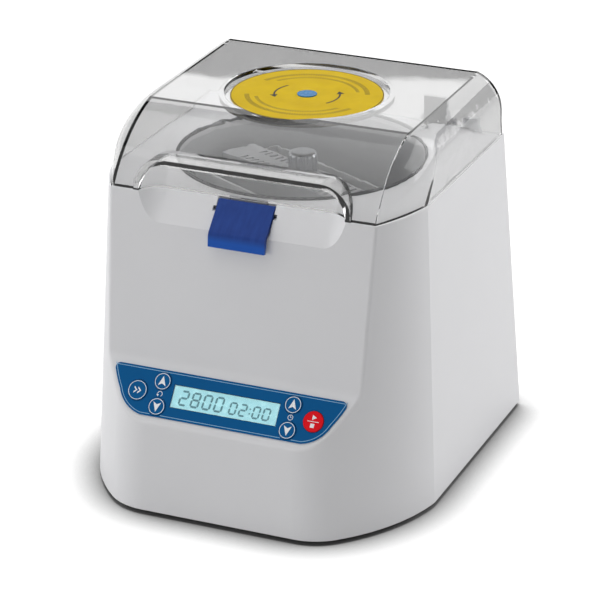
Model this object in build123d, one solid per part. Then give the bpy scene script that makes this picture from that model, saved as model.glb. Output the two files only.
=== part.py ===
from build123d import *
import os
from math import asin, atan2, cos, degrees, hypot, radians, sin, sqrt, tan

os.makedirs("parts", exist_ok=True)

# Bench centrifuge for microplates.  Millimetres, +Z up, the feet stand on z = 0, the front faces -Y.
# The origin is under the middle of the base.

# ---------------------------------------------------------------- clearances and allowances
RUNNING_FIT = 0.05          # radial, shaft in hole
PRESS_FIT = 0.02            # radial, where one piece is held tight in another
STILL_GAP = 0.3             # between pieces that only lie beside each other
SCREW_CLEARANCE = 0.2       # radial, screw through a plate
OVERCUT = 1.0               # how far a cutting form passes the face it cuts
SINK = 1.0                  # how deep an added form starts inside its carrier
FAR = 200.0                 # past every face, for cutting forms
NEAR = 1e-3                 # two places or directions closer than this count as the same

# ---------------------------------------------------------------- driving dimensions: what gives the depth
BOWL_RADIUS = 75.5
GASKET_WIDTH = 2.0          # of the ring round the bowl's mouth
SCOOP_DEPTH = 9.5           # of the finger scoop in front
LID_WALL = 3.0
BOWL_FRONT_ROOM = 3.5       # between the gasket and the lid's wall behind the scoop
BOWL_REAR_ROOM = 4.3        # between the gasket and the housing's rear edge
SIDE_DRAFT = 9.0            # how far the sides and the front lean in from base to seam
REAR_DRAFT = 19.1           # the same for the rear wall
FRONT_SETBACK = 40.4        # how far the upper front ends behind the foot of the housing
SEAM_DEPTH = (SCOOP_DEPTH + LID_WALL + BOWL_FRONT_ROOM + 2 * (GASKET_WIDTH + BOWL_RADIUS)
              + BOWL_REAR_ROOM)
BASE_HALF_DEPTH = (FRONT_SETBACK + SEAM_DEPTH + REAR_DRAFT) / 2

# ---------------------------------------------------------------- driving dimensions: housing
FOOT_HEIGHT = 3.0           # how far the housing stands off the bench
SEAM_Z = 192.0              # top of the housing, where the lid begins
BASE_HALF_WIDTH = 110.0
SEAM_HALF_WIDTH = BASE_HALF_WIDTH - SIDE_DRAFT
FRONT_AT_SEAM = FRONT_SETBACK - BASE_HALF_DEPTH     # y of the front at the seam
CORNER_RADIUS = 119.4       # plan radius of the large front corners at the base
CORNER_PAST = 1.8           # how far its full circle would pass the flat side
CORNER_BACK = 97.0          # its centre behind the front
SEAM_CORNER_RADIUS = 105.6  # the same three at the seam
SEAM_CORNER_PAST = 1.6
SEAM_CORNER_BACK = 90.2
BLEND_RADIUS = 35.0         # between the front and the corner arcs, at the base
REAR_CORNER_RADIUS = 2.0
INNER_CORNER_RADIUS = 0.6   # least radius of the rear corners inside the walls
WALL = 3.0
DECK = 3.0                  # thickness of the top deck, below the lid
NOSE_Z = 59.4               # lower edge of the sloping control facet
NOSE_RADIUS = 2.5
PANEL_SLOPE = 52.84         # degrees from level
FRONT_LEAN = 8.04           # degrees from upright, above the facet
FOLD_RADIUS = 9.0           # soft fold between the facet and the front
CUTTER_REACH = 36.0         # how far the form that cuts the facet runs past both its ends
BOSS_RADIUS = 5.0
BOSS_PLACES = ((BASE_HALF_WIDTH - 17.0, BASE_HALF_DEPTH - 29.4),
               (BASE_HALF_WIDTH - 32.0, 53.4 - BASE_HALF_DEPTH))
PILOT_RADIUS = 1.6
PILOT_DEPTH = 14.0

# ---------------------------------------------------------------- driving dimensions: lid
LID_TOP_Z = 231.0
LID_GAP = 0.3               # between the housing's top and the lid's edge
LID_INSET = 0.8             # the lid's edge stands this far inside the housing's edge
LID_BAND_LEAN = 1.0         # how far the nearly upright sides lean in over the lid's height
LID_ROUND_START = 16.5      # height above the seam at which the sides begin to round over
LID_ROUND_RADIUS = 24.0
LID_EDGE_HALF = SEAM_HALF_WIDTH - 16.8  # half width of the curved front and the flat top, at the seam
LID_EDGE_LEAN = 0.9         # how much less it is at the top
LID_EDGE_SHARE = 0.4        # how far the inner edge stands inwards, as a share of the wall
LID_CORNER_FOOT_Y = FRONT_AT_SEAM + 40.5    # where the round corner meets the straight side, at the seam
LID_CORNER_SLANT = 1.0      # how far that place moves back for each millimetre of height
LID_CREASE = 12.0           # degrees, the crease there at the seam; it fades out upwards
LID_LEVELS = (0.0, 0.2, 0.42, 0.57, 0.7, 0.8, 0.88, 1.0)
LID_FRONT_RADIUS = 80.0     # of the curved front
LID_FRONT_EDGE = FRONT_AT_SEAM + 53.7   # y of the crease between the curved front and the flat top
LID_REAR_Y = BASE_HALF_DEPTH - REAR_DRAFT - LID_INSET
LID_REAR_EDGE = 3.0         # round of the rear wall's outline
DISC_Y = LID_REAR_Y - 75.1  # centre of the round label
DISC_RADIUS = 46.7
DISC_THICKNESS = 0.5
RECESS_RADIUS = 50.4
RECESS_DEPTH = 3.0
DOT_RADIUS = 6.0
DOT_HEIGHT = 0.6

# ---------------------------------------------------------------- driving dimensions: finger scoop and handle
SCOOP_HALF_WIDTH = 67.0
SCOOP_CORNER = 15.0
SCOOP_FALL = 17.5           # height over which the scoop runs out below the seam
SCOOP_RISE = 22.0           # height over which it runs out above the seam
SCOOP_RISE_LEAN = 6.2       # how far its upper wall leans back over that height
SCOOP_REACH = 3             # its cutting form starts this many falls in front of the face
LIP_HALF_WIDTH = 69.5
LIP_TOP_Z = SEAM_Z + 21.2
LIP_CORNER = 19.0
LIP_THICKNESS = 3.6
LIP_FRONT_Y = FRONT_AT_SEAM - 0.8
LIP_DRAFT = 1.5             # how far its sides lean in over its height
LIP_INNER_REAR = 40.0       # how far back the opening under the lip is cut

# ---------------------------------------------------------------- driving dimensions: latch
LATCH_HALF_WIDTH = 18.0
LATCH_THICKNESS = 2.2
LATCH_TOP = (FRONT_AT_SEAM + 8.9, SEAM_Z - 1.2)     # y, z of the outer face
LATCH_BEND = (FRONT_AT_SEAM - 7.4, SEAM_Z - 17.3)
LATCH_FOOT = (FRONT_AT_SEAM - 8.2, SEAM_Z - 25.4)
LATCH_PIVOT = (FRONT_AT_SEAM + 7.4, SEAM_Z - 6.2)
LATCH_BEND_RADIUS = 5.0
LATCH_INNER_DROP = 0.6      # how far the inner bend lies below the outer one
LATCH_FOOT_CHAMFER = 0.5
LATCH_BARREL = 2.3
LATCH_PIN_RADIUS = 1.1
LATCH_PIN_OVERHANG = 3.2    # beyond the lever, into the pocket's side walls
LATCH_PIN_SHOWS = 2.4       # how much of each end shows in a notch beside the lever
LATCH_SIDE_GAP = 0.6
NOSE_BOTTOM, NOSE_TOP = SEAM_Z - 12.6, SEAM_Z - 10.0    # the lever's catching nose
NOSE_HALF_WIDTH = 10.0
NOSE_LEAN = 1.0             # how far its lower edge stands back from its upper one
TONGUE_HALF_WIDTH = 12.0
TONGUE_FRONT_Y = FRONT_AT_SEAM + 11.1
TONGUE_THICKNESS = 1.8
TONGUE_BOTTOM = SEAM_Z - 13.4
TONGUE_ROOT = 4.0           # how far it runs up inside the lid
TONGUE_GAP = 0.5
POCKET_BOTTOM = SEAM_Z - 16.0
POCKET_REAR_Y = FRONT_AT_SEAM + 13.4
POCKET_WALL = 2.0
SPRING_HALF = 4.3           # half length of the coil
SPRING_GAP_HALF = 5.5       # half width of its room in the lever
SPRING_WIRE = 0.5
SPRING_INNER = 1.2          # inner radius of the coil, round the pin
SPRING_CLEARANCE = 0.2

# ---------------------------------------------------------------- driving dimensions: bowl and rotor
AXIS_Y = BASE_HALF_DEPTH - REAR_DRAFT - BOWL_REAR_ROOM - GASKET_WIDTH - BOWL_RADIUS     # the spindle
BOWL_WALL = 1.5
BOWL_FLOOR_Z = 86.0
BOWL_FLANGE = 5.0
BOWL_HOLE_RADIUS = 10.0
GASKET_HEIGHT = 1.5
GASKET_EDGE = 0.6
ROTOR_RADIUS = BOWL_RADIUS - 2.0
ROTOR_ANGLE = -28.0         # the spine's heading in plan at rest
ROTOR_FLOOR_Z = 95.0
ROTOR_FLOOR = 4.0
SPINE_WIDTH = 25.0
SPINE_TOP_Z = 178.0
BAY_DEPTH = 19.0            # room for a plate standing on its long edge
BAY_LENGTH = 128.8
BASKET_WALL = 1.5
BASKET_TOP_Z = 172.0
SPINE_SLOTS = 7
SPINE_SLOT_PITCH = 5.2
SPINE_SLOT_WIDTH = 2.2
SPINE_SLOT_LENGTH = 6.5
SPINE_SLOT_DEPTH = 3.0
KNOB_RADIUS = 9.0
KNOB_HEIGHT = 16.0
KNOB_FLUTES = 16
KNOB_FLUTE_RADIUS = 1.1
SHAFT_RADIUS = 4.0
SHAFT_TOP_IN_KNOB = 7.0
HUB_RADIUS = 14.0
HUB_FLANGE = 3.5
HUB_BOSS_RADIUS = 10.0
SEAL_HEIGHT = 2.5
SEAL_RADIUS = 13.0
SPINE_SLOT_START = 8.0      # from the knob's edge to the first slot's middle
SPINE_SLOT_MARGIN = 1.6     # from the slots to the spine's side
KNOB_DOME = 3.0
KNOB_FLUTE_OUT = 0.3        # how far outside the knob's edge the flutes' middles lie
KNOB_SKIRT = 2.0            # plain foot below the flutes

# ---------------------------------------------------------------- driving dimensions: motor and base
PLATE_THICKNESS = 2.5
PLATE_GAP = 0.6
FOOT_RADIUS = 9.0
FOOT_PLACES = ((BASE_HALF_WIDTH - 30.0, BASE_HALF_DEPTH - 19.4),
               (BASE_HALF_WIDTH - 50.0, 21.4 - BASE_HALF_DEPTH))
FOOT_STEM_RADIUS = 3.0
FOOT_STEM = 4.0
FOOT_EDGE = 0.6
SCREW_HEAD_RADIUS = 3.6
SCREW_HEAD = 2.1
BASE_SCREW = 12.0           # how far the base screws reach into the bosses
MOTOR_RADIUS = 29.0
MOTOR_WALL = 2.0
MOTOR_BOTTOM_Z = 22.0
MOTOR_CAP = 3.0
BRACKET_THICKNESS = 3.0
BRACKET_BELOW_BOWL = 3.2
BRACKET_HALF = 50.0
BRACKET_HOLE = 13.0
PILLAR_HALF_PITCH = 42.0
PILLAR_RADIUS = 5.0
DAMPER_RADIUS = 7.0
DAMPER_HEIGHT = 4.0
MOTOR_SCREW_CIRCLE = 20.0
MOTOR_SCREW_RADIUS = 2.0
MOTOR_SCREW_LENGTH = 5.0
PILLAR_SCREW = 14.0
PILLAR_BORE = 10.0
BEARING_RADIUS = 11.0
BEARING_WIDTH = 7.0
STATOR_LENGTH = 28.0
STATOR_BORE = 20.0
AIR_GAP = 0.5

# ---------------------------------------------------------------- driving dimensions: control panel
OVERLAY_THICKNESS = 0.6
OVERLAY_TOP, OVERLAY_BOTTOM = 14.9, -14.2       # up the slope from the facet's middle
OVERLAY_TOP_HALF, OVERLAY_BOTTOM_HALF = 76.0, 52.0
OVERLAY_SIDE = ((61.5, -9.9), (68.5, -0.6), (72.6, 6.7))  # where its side passes, x and up the slope
OVERLAY_CORNER = 3.0
SCREEN_WIDTH, SCREEN_HEIGHT = 68.0, 13.6
SCREEN_UP = 0.2
SCREEN_MARGIN = 0.3
WINDOW_LEDGE = 0.8          # how much wider the housing's window is than the keypad's
SCREEN_LENS = 0.5
SCREEN_LENS_SUNK = 0.1      # how much of it lies below the facet's face
SCREEN_GAP = 0.2            # below the lens, and between the carrier and the wall
SCREEN_CARRIER_WIDTH, SCREEN_CARRIER_HEIGHT = 70.0, 19.0
ARROW_X, ARROW_UP, ARROW_RADIUS = 42.2, 7.8, 5.4
ROUND_X, ROUND_RADIUS = 56.8, 6.3
KEY_PROUD = 0.6             # above the overlay
KEY_TRAVEL = 0.4
KEY_FLANGE = 0.8
KEY_FLANGE_THICKNESS = 0.9
KEY_FLANGE_GAP = 0.2        # between the flange and the housing's wall
KEY_EDGE = 0.4              # round of the cap's rim
KEY_GAP = 0.3
BOARD_WIDTH, BOARD_HEIGHT, BOARD_THICKNESS = 130.0, 27.0, 1.6
BOARD_BELOW = 7.5           # below the facet's face
BOARD_HOLE_X, BOARD_HOLE_UP = 61.5, 11.0
BOARD_SCREW = 5.0           # how far its screws reach past the board's rear face
BOARD_SCREW_HOLE = 5.0      # depth of their holes in the bosses
BOARD_BOSS_RADIUS = 2.6
SMALL_SCREW_RADIUS = 1.2
SMALL_HEAD_RADIUS = 2.3
SMALL_HEAD = 1.4
KEY_SWITCH_SIDE = 6.0
KEY_SWITCH_STEM = 1.7
KEY_SWITCH_GAP = 0.1        # left over the stem when the key is down
KEY_SWITCH_PROUD = 0.3      # how far the stem stands out of its switch

# ---------------------------------------------------------------- driving dimensions: rear
REAR_FITTINGS_Z = 40.0
INLET_X, INLET_WIDTH, INLET_HEIGHT = -62.0, 27.0, 19.5
INLET_FLANGE = 3.0
INLET_FLANGE_THICKNESS = 2.0
INLET_DEPTH = 22.0
INLET_SOCKET_WALL = 2.0
INLET_SOCKET_DEPTH = 16.0
INLET_CORNER = 2.0
INLET_BLADES = ((-7.0, -2.0), (7.0, -2.0), (0.0, 3.0))
BLADE_WIDTH, BLADE_THICKNESS, BLADE_LENGTH = 1.6, 4.0, 12.0
ROCKER_X, ROCKER_WIDTH, ROCKER_HALF = -28.0, 10.4, 8.8
ROCKER_ANGLE = 8.0          # each way from level
ROCKER_PIVOT_BELOW = 3.0
ROCKER_CREST = 4.0          # crest of the rocker above its pivot
ROCKER_KEEL = 3.0
ROCKER_STUB_RADIUS = 1.2
ROCKER_STUB = 0.4
ROCKER_TAPER = 0.8          # width of its keel, as a share of its face
PIVOT_DEPTH = 1.0           # of the holes for the stubs
SWITCH_CAVITY_HALF = 10.1
SWITCH_SIDE_GAP = 0.3
SWITCH_WALL = 1.5
SWITCH_FLANGE = 1.6
SWITCH_FLANGE_THICKNESS = 1.5
SWITCH_DEPTH = 13.0
SWITCH_CORNER = 1.5
VENT_X, VENT_Z, VENT_PITCH, VENT_SLOTS = 52.0, 46.0, 8.0, 7
VENT_WIDTH, VENT_HEIGHT = 3.2, 42.0
HINGE_X = 55.0
HINGE_AXIS = (LID_REAR_Y + 6.0, SEAM_Z - 2.0)   # y, z
HINGE_KNUCKLE = 4.0
HINGE_PIN_RADIUS = 1.5
HINGE_ARM_HALF = 7.0
HINGE_EAR = 3.0
HINGE_EAR_GAP = 0.3
HINGE_PLATE = 2.5
HINGE_PLATE_BOTTOM, HINGE_PLATE_TOP = SEAM_Z - 24.0, SEAM_Z - 7.5
HINGE_EAR_SHAPE = ((-7.0, -22.0), (-7.0, 0.0), (-1.5, 3.6), (4.0, 0.0), (1.0, -16.0),
                   (0.0, -22.0))    # from the pin
HINGE_NECK_SHAPE = ((3.0, 2.6), (-3.4, 1.9))        # where the arm meets its knuckle, from the pin
HINGE_GUSSET = 8.0          # height of the arm's slanting part
HINGE_PIN_PROUD = 0.8
HINGE_SCREW_PITCH = 8.0
HINGE_SCREW_PAST = 1.5      # how far the screws reach past the rear wall
HINGE_ARM_TOP = SEAM_Z + 16.0
HINGE_ARM_BOTTOM = SEAM_Z + 1.2
HINGE_ARM_PLATE = 2.6
HINGE_SCREW_RADIUS = 1.5
HINGE_SCREW_HEAD = 2.7
HINGE_SCREW_HEAD_HEIGHT = 1.3
POWER_BOARD_WALL_ROOM = 9.0     # to the outside of the housing
POWER_BOARD_PILLAR_ROOM = 6.0   # to the dampers on the pillars
POWER_BOARD_DEPTH = 66.0
POWER_BOARD_Y = BASE_HALF_DEPTH - 75.4
POWER_BOARD_Z = 12.0
POWER_BLOCK = (24.0, 30.0, 22.0)
POWER_BLOCK_AT = (-6.0, -8.0)   # from the board's middle
CAPACITOR_AT = (12.0, 10.0)
CAPACITOR_RADIUS = 7.0
CAPACITOR_HEIGHT = 24.0
STANDOFF_RADIUS = 3.0
STANDOFF_INSET = 4.0
MAGNET = (10.0, 4.0, 7.0)
MAGNET_X = SEAM_HALF_WIDTH - 21.0
MAGNET_UP = 0.5             # above the lid's lower edge
SENSOR = (14.0, 8.0, 3.5)
SENSOR_INWARDS = 3.0        # from the lid's inner rear face

# ---------------------------------------------------------------- derived places
BODY_HEIGHT = SEAM_Z - FOOT_HEIGHT
LID_HEIGHT = LID_TOP_Z - SEAM_Z
LID_BOTTOM_Z = SEAM_Z + LID_GAP
SLOPE = radians(PANEL_SLOPE)
LEAN = radians(FRONT_LEAN)
REAR_LEAN = atan2(REAR_DRAFT, BODY_HEIGHT)
NOSE_Y = -BASE_HALF_DEPTH + SIDE_DRAFT * (NOSE_Z - FOOT_HEIGHT) / BODY_HEIGHT
FACET_LENGTH = ((FRONT_AT_SEAM - NOSE_Y - (SEAM_Z - NOSE_Z) * tan(LEAN))
                / (cos(SLOPE) - sin(SLOPE) * tan(LEAN)))
FACET_MIDDLE = (NOSE_Y + FACET_LENGTH / 2 * cos(SLOPE), NOSE_Z + FACET_LENGTH / 2 * sin(SLOPE))
PANEL = Plane(origin=(0, *FACET_MIDDLE), x_dir=(1, 0, 0), z_dir=(0, -sin(SLOPE), cos(SLOPE)))
CORNER_CENTRE = (BASE_HALF_WIDTH + CORNER_PAST - CORNER_RADIUS, CORNER_BACK - BASE_HALF_DEPTH)
SEAM_CORNER_CENTRE = (SEAM_HALF_WIDTH + SEAM_CORNER_PAST - SEAM_CORNER_RADIUS,
                      SEAM_CORNER_BACK + SIDE_DRAFT - BASE_HALF_DEPTH)
POWER_BOARD_OUTER = BASE_HALF_WIDTH - POWER_BOARD_WALL_ROOM
POWER_BOARD_INNER = PILLAR_HALF_PITCH + DAMPER_RADIUS + POWER_BOARD_PILLAR_ROOM
POWER_BOARD = (POWER_BOARD_OUTER - POWER_BOARD_INNER, POWER_BOARD_DEPTH)
POWER_BOARD_AT = (-(POWER_BOARD_OUTER + POWER_BOARD_INNER) / 2, POWER_BOARD_Y)
KEY_FOOT = -WALL - KEY_FLANGE_GAP - KEY_FLANGE_THICKNESS
BOARD_REAR = -BOARD_BELOW - BOARD_THICKNESS
SWITCH_WIDTH = ROCKER_WIDTH + 2 * (SWITCH_SIDE_GAP + SWITCH_WALL)
SWITCH_HEIGHT = 2 * (SWITCH_CAVITY_HALF + SWITCH_WALL)
BRACKET_Z = BOWL_FLOOR_Z - BRACKET_BELOW_BOWL - BRACKET_THICKNESS
PLATE_TOP = FOOT_HEIGHT + PLATE_THICKNESS
BAY_NEAR = SPINE_WIDTH / 2
BAY_FAR = BAY_NEAR + BAY_DEPTH
ROTOR_FLOOR_TOP = ROTOR_FLOOR_Z + ROTOR_FLOOR
RECESS_FLOOR_Z = LID_TOP_Z - RECESS_DEPTH


# ---------------------------------------------------------------- helpers
def block(x, y, z):
    """Box from its three (low, high) pairs."""
    size = (x[1] - x[0], y[1] - y[0], z[1] - z[0])
    middle = (sum(x) / 2, sum(y) / 2, sum(z) / 2)
    return Pos(*middle) * Box(*size)


def rod(radius, z, at=(0.0, 0.0)):
    """Upright cylinder between two heights."""
    return Pos(*at, sum(z) / 2) * Cylinder(radius, z[1] - z[0])


def rod_x(radius, half, y, z, x=0.0):
    """Cylinder along X, centred at x."""
    return Pos(x, y, z) * Rot(0, 90, 0) * Cylinder(radius, 2 * half)


def ring(outer, inner, z, at=(0.0, 0.0)):
    return rod(outer, z, at) - rod(inner, z, at)


def slab_yz(points, half, x=0.0):
    """Polygon in y and z, extruded both ways along X."""
    face = make_face(Polyline([(0, *p) for p in points], close=True).edges())
    return Pos(x, 0, 0) * extrude(face, half, dir=(1, 0, 0), both=True)


def pushed(face, vector):
    """Prism from a face along a vector, which may be oblique."""
    return extrude(face, Vector(vector).length, dir=vector)


def on_panel(solid, x, up):
    """Place a solid on the control facet: its +Z points straight out of the facet."""
    return PANEL * Pos(x, up, 0) * solid


def panel_rod(radius, span, x, up):
    """Cylinder square to the control facet, between two heights over its face."""
    return on_panel(rod(radius, span), x, up)


def panel_block(width, height, span, x, up):
    """Box square to the control facet, between two heights over its face."""
    return on_panel(block((-width / 2, width / 2), (-height / 2, height / 2), span), x, up)


def flanged_box(width, height, depth, flange, thickness, corner):
    """Box sunk below z = 0 with a flange on top."""
    body = block((-width / 2, width / 2), (-height / 2, height / 2), (-depth, 0))
    wide, tall = width + 2 * flange, height + 2 * flange
    rim = block((-wide / 2, wide / 2), (-tall / 2, tall / 2), (0, thickness))
    return body + fillet(rim.edges().filter_by(Axis.Z), corner)


def rear_wall_y(z):
    return BASE_HALF_DEPTH - (z - FOOT_HEIGHT) * tan(REAR_LEAN)


def rear_plane(x, z):
    """Plane on the rear wall at a height: +Z points straight out, +Y up the wall."""
    return Plane(origin=(x, rear_wall_y(z), z), x_dir=(-1, 0, 0),
                 z_dir=(0, cos(REAR_LEAN), sin(REAR_LEAN)))


def four(places):
    return [(sx * x, y) for x, y in places for sx in (-1, 1)]


def joined(solids):
    """Fuse a list of solids."""
    whole = solids[0]
    for solid in solids[1:]:
        whole = whole + solid
    return whole


# ---------------------------------------------------------------- shared outlines
def arc_about(centre, radius, start, end, z):
    """Arc edge between two angles in degrees about a centre."""
    def at(angle):
        return (centre[0] + radius * cos(radians(angle)), centre[1] + radius * sin(radians(angle)), z)
    return ThreePointArc(at(start), at((start + end) / 2), at(end))


def plan_wire(z, half_width, front_y, centre, corner, rear_y, inset):
    """Plan of the housing at one height: straight front, large round corners, creased straight sides."""
    half_width, front_y, corner, rear_y = half_width - inset, front_y + inset, corner - inset, rear_y - inset
    (cx, cy), blend = centre, BLEND_RADIUS - inset
    rear_corner = max(REAR_CORNER_RADIUS - inset, INNER_CORNER_RADIUS)
    blend_y = front_y + blend
    blend_x = cx + sqrt((corner - blend) ** 2 - (blend_y - cy) ** 2)
    touch = degrees(atan2(blend_y - cy, blend_x - cx))
    crease = degrees(asin((half_width - cx) / corner)) - 90.0
    crease_y = cy + corner * sin(radians(crease))
    rear_x, rear_in = half_width - rear_corner, rear_y - rear_corner
    right = [arc_about((blend_x, blend_y), blend, -90.0, touch, z),
             arc_about((cx, cy), corner, touch, crease, z),
             Line((half_width, crease_y, z), (half_width, rear_in, z)),
             arc_about((rear_x, rear_in), rear_corner, 0.0, 90.0, z)]
    left = [edge.mirror(Plane.YZ) for edge in right]
    front = Line((-blend_x, front_y, z), (blend_x, front_y, z))
    rear = Line((rear_x, rear_y, z), (-rear_x, rear_y, z))
    return Wire([front, *right, rear, *left[::-1]])


def base_wire(inset):
    return plan_wire(FOOT_HEIGHT, BASE_HALF_WIDTH, -BASE_HALF_DEPTH, CORNER_CENTRE, CORNER_RADIUS,
                     BASE_HALF_DEPTH, inset)


def housing_form(inset):
    """The housing's drafted form before the facet is cut, moved inwards by inset."""
    seam = plan_wire(SEAM_Z, SEAM_HALF_WIDTH, -BASE_HALF_DEPTH + SIDE_DRAFT, SEAM_CORNER_CENTRE,
                     SEAM_CORNER_RADIUS, BASE_HALF_DEPTH - REAR_DRAFT, inset)
    return Solid.make_loft([base_wire(inset), seam], ruled=True)


def front_cutter(inset):
    """All that lies in front of the sloping facet and the upper front, with the soft fold between."""
    out_y, out_z = sin(SLOPE) * inset, -cos(SLOPE) * inset
    nose = (NOSE_Y + out_y, NOSE_Z + out_z)
    seam = (FRONT_AT_SEAM + inset / cos(LEAN), SEAM_Z)
    run = (seam[0] - nose[0] - (seam[1] - nose[1]) * tan(LEAN)) / (cos(SLOPE) - sin(SLOPE) * tan(LEAN))
    fold = (nose[0] + run * cos(SLOPE), nose[1] + run * sin(SLOPE))
    below = (nose[0] - CUTTER_REACH * cos(SLOPE), nose[1] - CUTTER_REACH * sin(SLOPE))
    above = (seam[0] + CUTTER_REACH * tan(LEAN), seam[1] + CUTTER_REACH)
    face = make_face(Polyline([(0, *below), (0, *fold), (0, *above), (0, -FAR, above[1]),
                               (0, -FAR, below[1])], close=True).edges())
    cutter = extrude(face, FAR, dir=(1, 0, 0), both=True)
    fold_edge = cutter.edges().filter_by(Axis.X).sort_by_distance((0, *fold))[0]
    return fillet(fold_edge, FOLD_RADIUS + inset)


def scoop_plan(grow, z):
    """Plan of the finger scoop at the seam, grown by a wall: flat back with well rounded corners."""
    half, back = SCOOP_HALF_WIDTH + grow, FRONT_AT_SEAM + SCOOP_DEPTH + grow
    front = FRONT_AT_SEAM - SCOOP_FALL * SCOOP_REACH
    face = make_face(Polyline([(-half, front, z), (half, front, z), (half, back, z), (-half, back, z)],
                              close=True).edges())
    corners = face.vertices().sort_by(Axis.Y)[-2:]
    return fillet(corners, SCOOP_CORNER + grow)


def scoop_below(grow):
    """Finger scoop in the housing: it slants out to nothing below the seam."""
    run = SCOOP_DEPTH + SCOOP_FALL * tan(LEAN)
    slope_y = -run / SCOOP_FALL
    depth = SCOOP_FALL * 2
    start = Pos(0, -slope_y * OVERCUT, 0) * scoop_plan(grow, SEAM_Z + OVERCUT)
    return pushed(start, (0, slope_y * (depth + OVERCUT), -(depth + OVERCUT)))


def scoop_above(grow):
    """The same scoop carried up into the lid, under the handle lip."""
    slope_y = SCOOP_RISE_LEAN / SCOOP_RISE
    start = Pos(0, -slope_y * OVERCUT, 0) * scoop_plan(grow, SEAM_Z - OVERCUT)
    rise = LIP_TOP_Z - LIP_THICKNESS - SEAM_Z + OVERCUT + grow
    return pushed(start, (0, slope_y * rise, rise))


def arch(shrink, y, depth):
    """Arch of the handle lip in front view, made thinner by shrink, extruded back from y."""
    half, top = LIP_HALF_WIDTH - shrink, LIP_TOP_Z - shrink
    low = SEAM_Z - LIP_THICKNESS
    face = make_face(Polyline([(-half, y, low), (half, y, low), (half - LIP_DRAFT, y, top),
                               (LIP_DRAFT - half, y, top)], close=True).edges())
    corners = face.vertices().sort_by(Axis.Z)[-2:]
    return pushed(fillet(corners, LIP_CORNER - shrink), (0, depth, 0))


# ---------------------------------------------------------------- housing
def latch_pocket(grow):
    return block((-LATCH_HALF_WIDTH - LATCH_SIDE_GAP - grow, LATCH_HALF_WIDTH + LATCH_SIDE_GAP + grow),
                 (FRONT_AT_SEAM - SCOOP_FALL, POCKET_REAR_Y + grow),
                 (POCKET_BOTTOM - grow, SEAM_Z + OVERCUT))


def panel_holes():
    """Window and key holes through the facet."""
    through, ledge = (-2 * WALL, 2 * WALL), 2 * (SCREEN_MARGIN + WINDOW_LEDGE)
    window = panel_block(SCREEN_WIDTH + ledge, SCREEN_HEIGHT + ledge, through, 0, SCREEN_UP)
    keys = [panel_rod(radius + KEY_GAP, through, x, up) for x, up, radius in KEYS.values()]
    return [window, *keys]


def make_housing():
    skin = fillet_nose(housing_form(0.0) - front_cutter(0.0))
    inside = (housing_form(WALL) - front_cutter(WALL)) & block((-FAR, FAR), (-FAR, FAR), (0, SEAM_Z - DECK))
    shell = skin - (inside - scoop_below(WALL))
    pocket_walls = latch_pocket(POCKET_WALL) & skin
    bosses = [rod(BOSS_RADIUS, (PLATE_TOP, SEAM_Z - DECK / 2), at) for at in four(BOSS_PLACES)]
    board_bosses = [panel_rod(BOARD_BOSS_RADIUS, (-BOARD_BELOW, -WALL / 2), *at) for at in board_holes()]
    shell = joined([shell, pocket_walls, *bosses, *board_bosses])
    cuts = [scoop_below(0.0), latch_pocket(0.0),
            rod(BOWL_RADIUS, (SEAM_Z - DECK - OVERCUT, SEAM_Z + OVERCUT), (0, AXIS_Y))]
    cuts += [rod_x(LATCH_PIN_RADIUS + RUNNING_FIT, LATCH_HALF_WIDTH + LATCH_PIN_OVERHANG, *LATCH_PIVOT)]
    pin_y, pin_z = LATCH_PIVOT
    notch = LATCH_HALF_WIDTH + LATCH_PIN_SHOWS
    cuts += [block((-notch, notch), (FRONT_AT_SEAM, pin_y),
                   (pin_z - LATCH_PIN_RADIUS - STILL_GAP, pin_z + LATCH_PIN_RADIUS + STILL_GAP))]
    cuts += [rod(PILOT_RADIUS, (PLATE_TOP - OVERCUT, PLATE_TOP + PILOT_DEPTH), at)
             for at in four(BOSS_PLACES)]
    screw_hole = (-BOARD_BELOW - OVERCUT, BOARD_SCREW_HOLE - BOARD_BELOW)
    cuts += [panel_rod(SMALL_SCREW_RADIUS + RUNNING_FIT, screw_hole, *at) for at in board_holes()]
    cuts += panel_holes()
    gap, through = 2 * STILL_GAP, 4 * WALL
    cuts += [rear_plane(INLET_X, REAR_FITTINGS_Z) * Box(INLET_WIDTH + gap, INLET_HEIGHT + gap, through),
             rear_plane(ROCKER_X, REAR_FITTINGS_Z) * Box(SWITCH_WIDTH + gap, SWITCH_HEIGHT + gap, through)]
    first = VENT_X - VENT_PITCH * (VENT_SLOTS - 1) / 2
    cuts += [rear_plane(first + i * VENT_PITCH, VENT_Z) * Box(VENT_WIDTH, VENT_HEIGHT, through)
             for i in range(VENT_SLOTS)]
    cuts += [rear_plane(x, z) * Cylinder(HINGE_SCREW_RADIUS + RUNNING_FIT, through)
             for x, z in hinge_screw_points()]
    for cut in cuts:
        shell = shell - cut
    return shell


def fillet_nose(skin):
    """Round the facet's lower edge and its sides up to the fold."""
    facet = skin.faces().filter_by(lambda f: abs(f.normal_at().dot(PANEL.z_dir) - 1) < NEAR)[0]
    fold_z = FACET_MIDDLE[1] + FACET_LENGTH / 2 * sin(SLOPE) - FOLD_RADIUS
    outline = [e for e in facet.edges() if e.center().Z < fold_z]
    return fillet([e for e in outline if e.geom_type != GeomType.LINE or e.center().Z < FACET_MIDDLE[1]],
                  NOSE_RADIUS)


# ---------------------------------------------------------------- control panel
KEYS = {
    "speed_up_key": (-ARROW_X, ARROW_UP, ARROW_RADIUS),
    "speed_down_key": (-ARROW_X, -ARROW_UP, ARROW_RADIUS),
    "timer_up_key": (ARROW_X, ARROW_UP, ARROW_RADIUS),
    "timer_down_key": (ARROW_X, -ARROW_UP, ARROW_RADIUS),
    "short_spin_key": (-ROUND_X, 0.0, ROUND_RADIUS),
    "start_stop_key": (ROUND_X, 0.0, ROUND_RADIUS),
}


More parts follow.
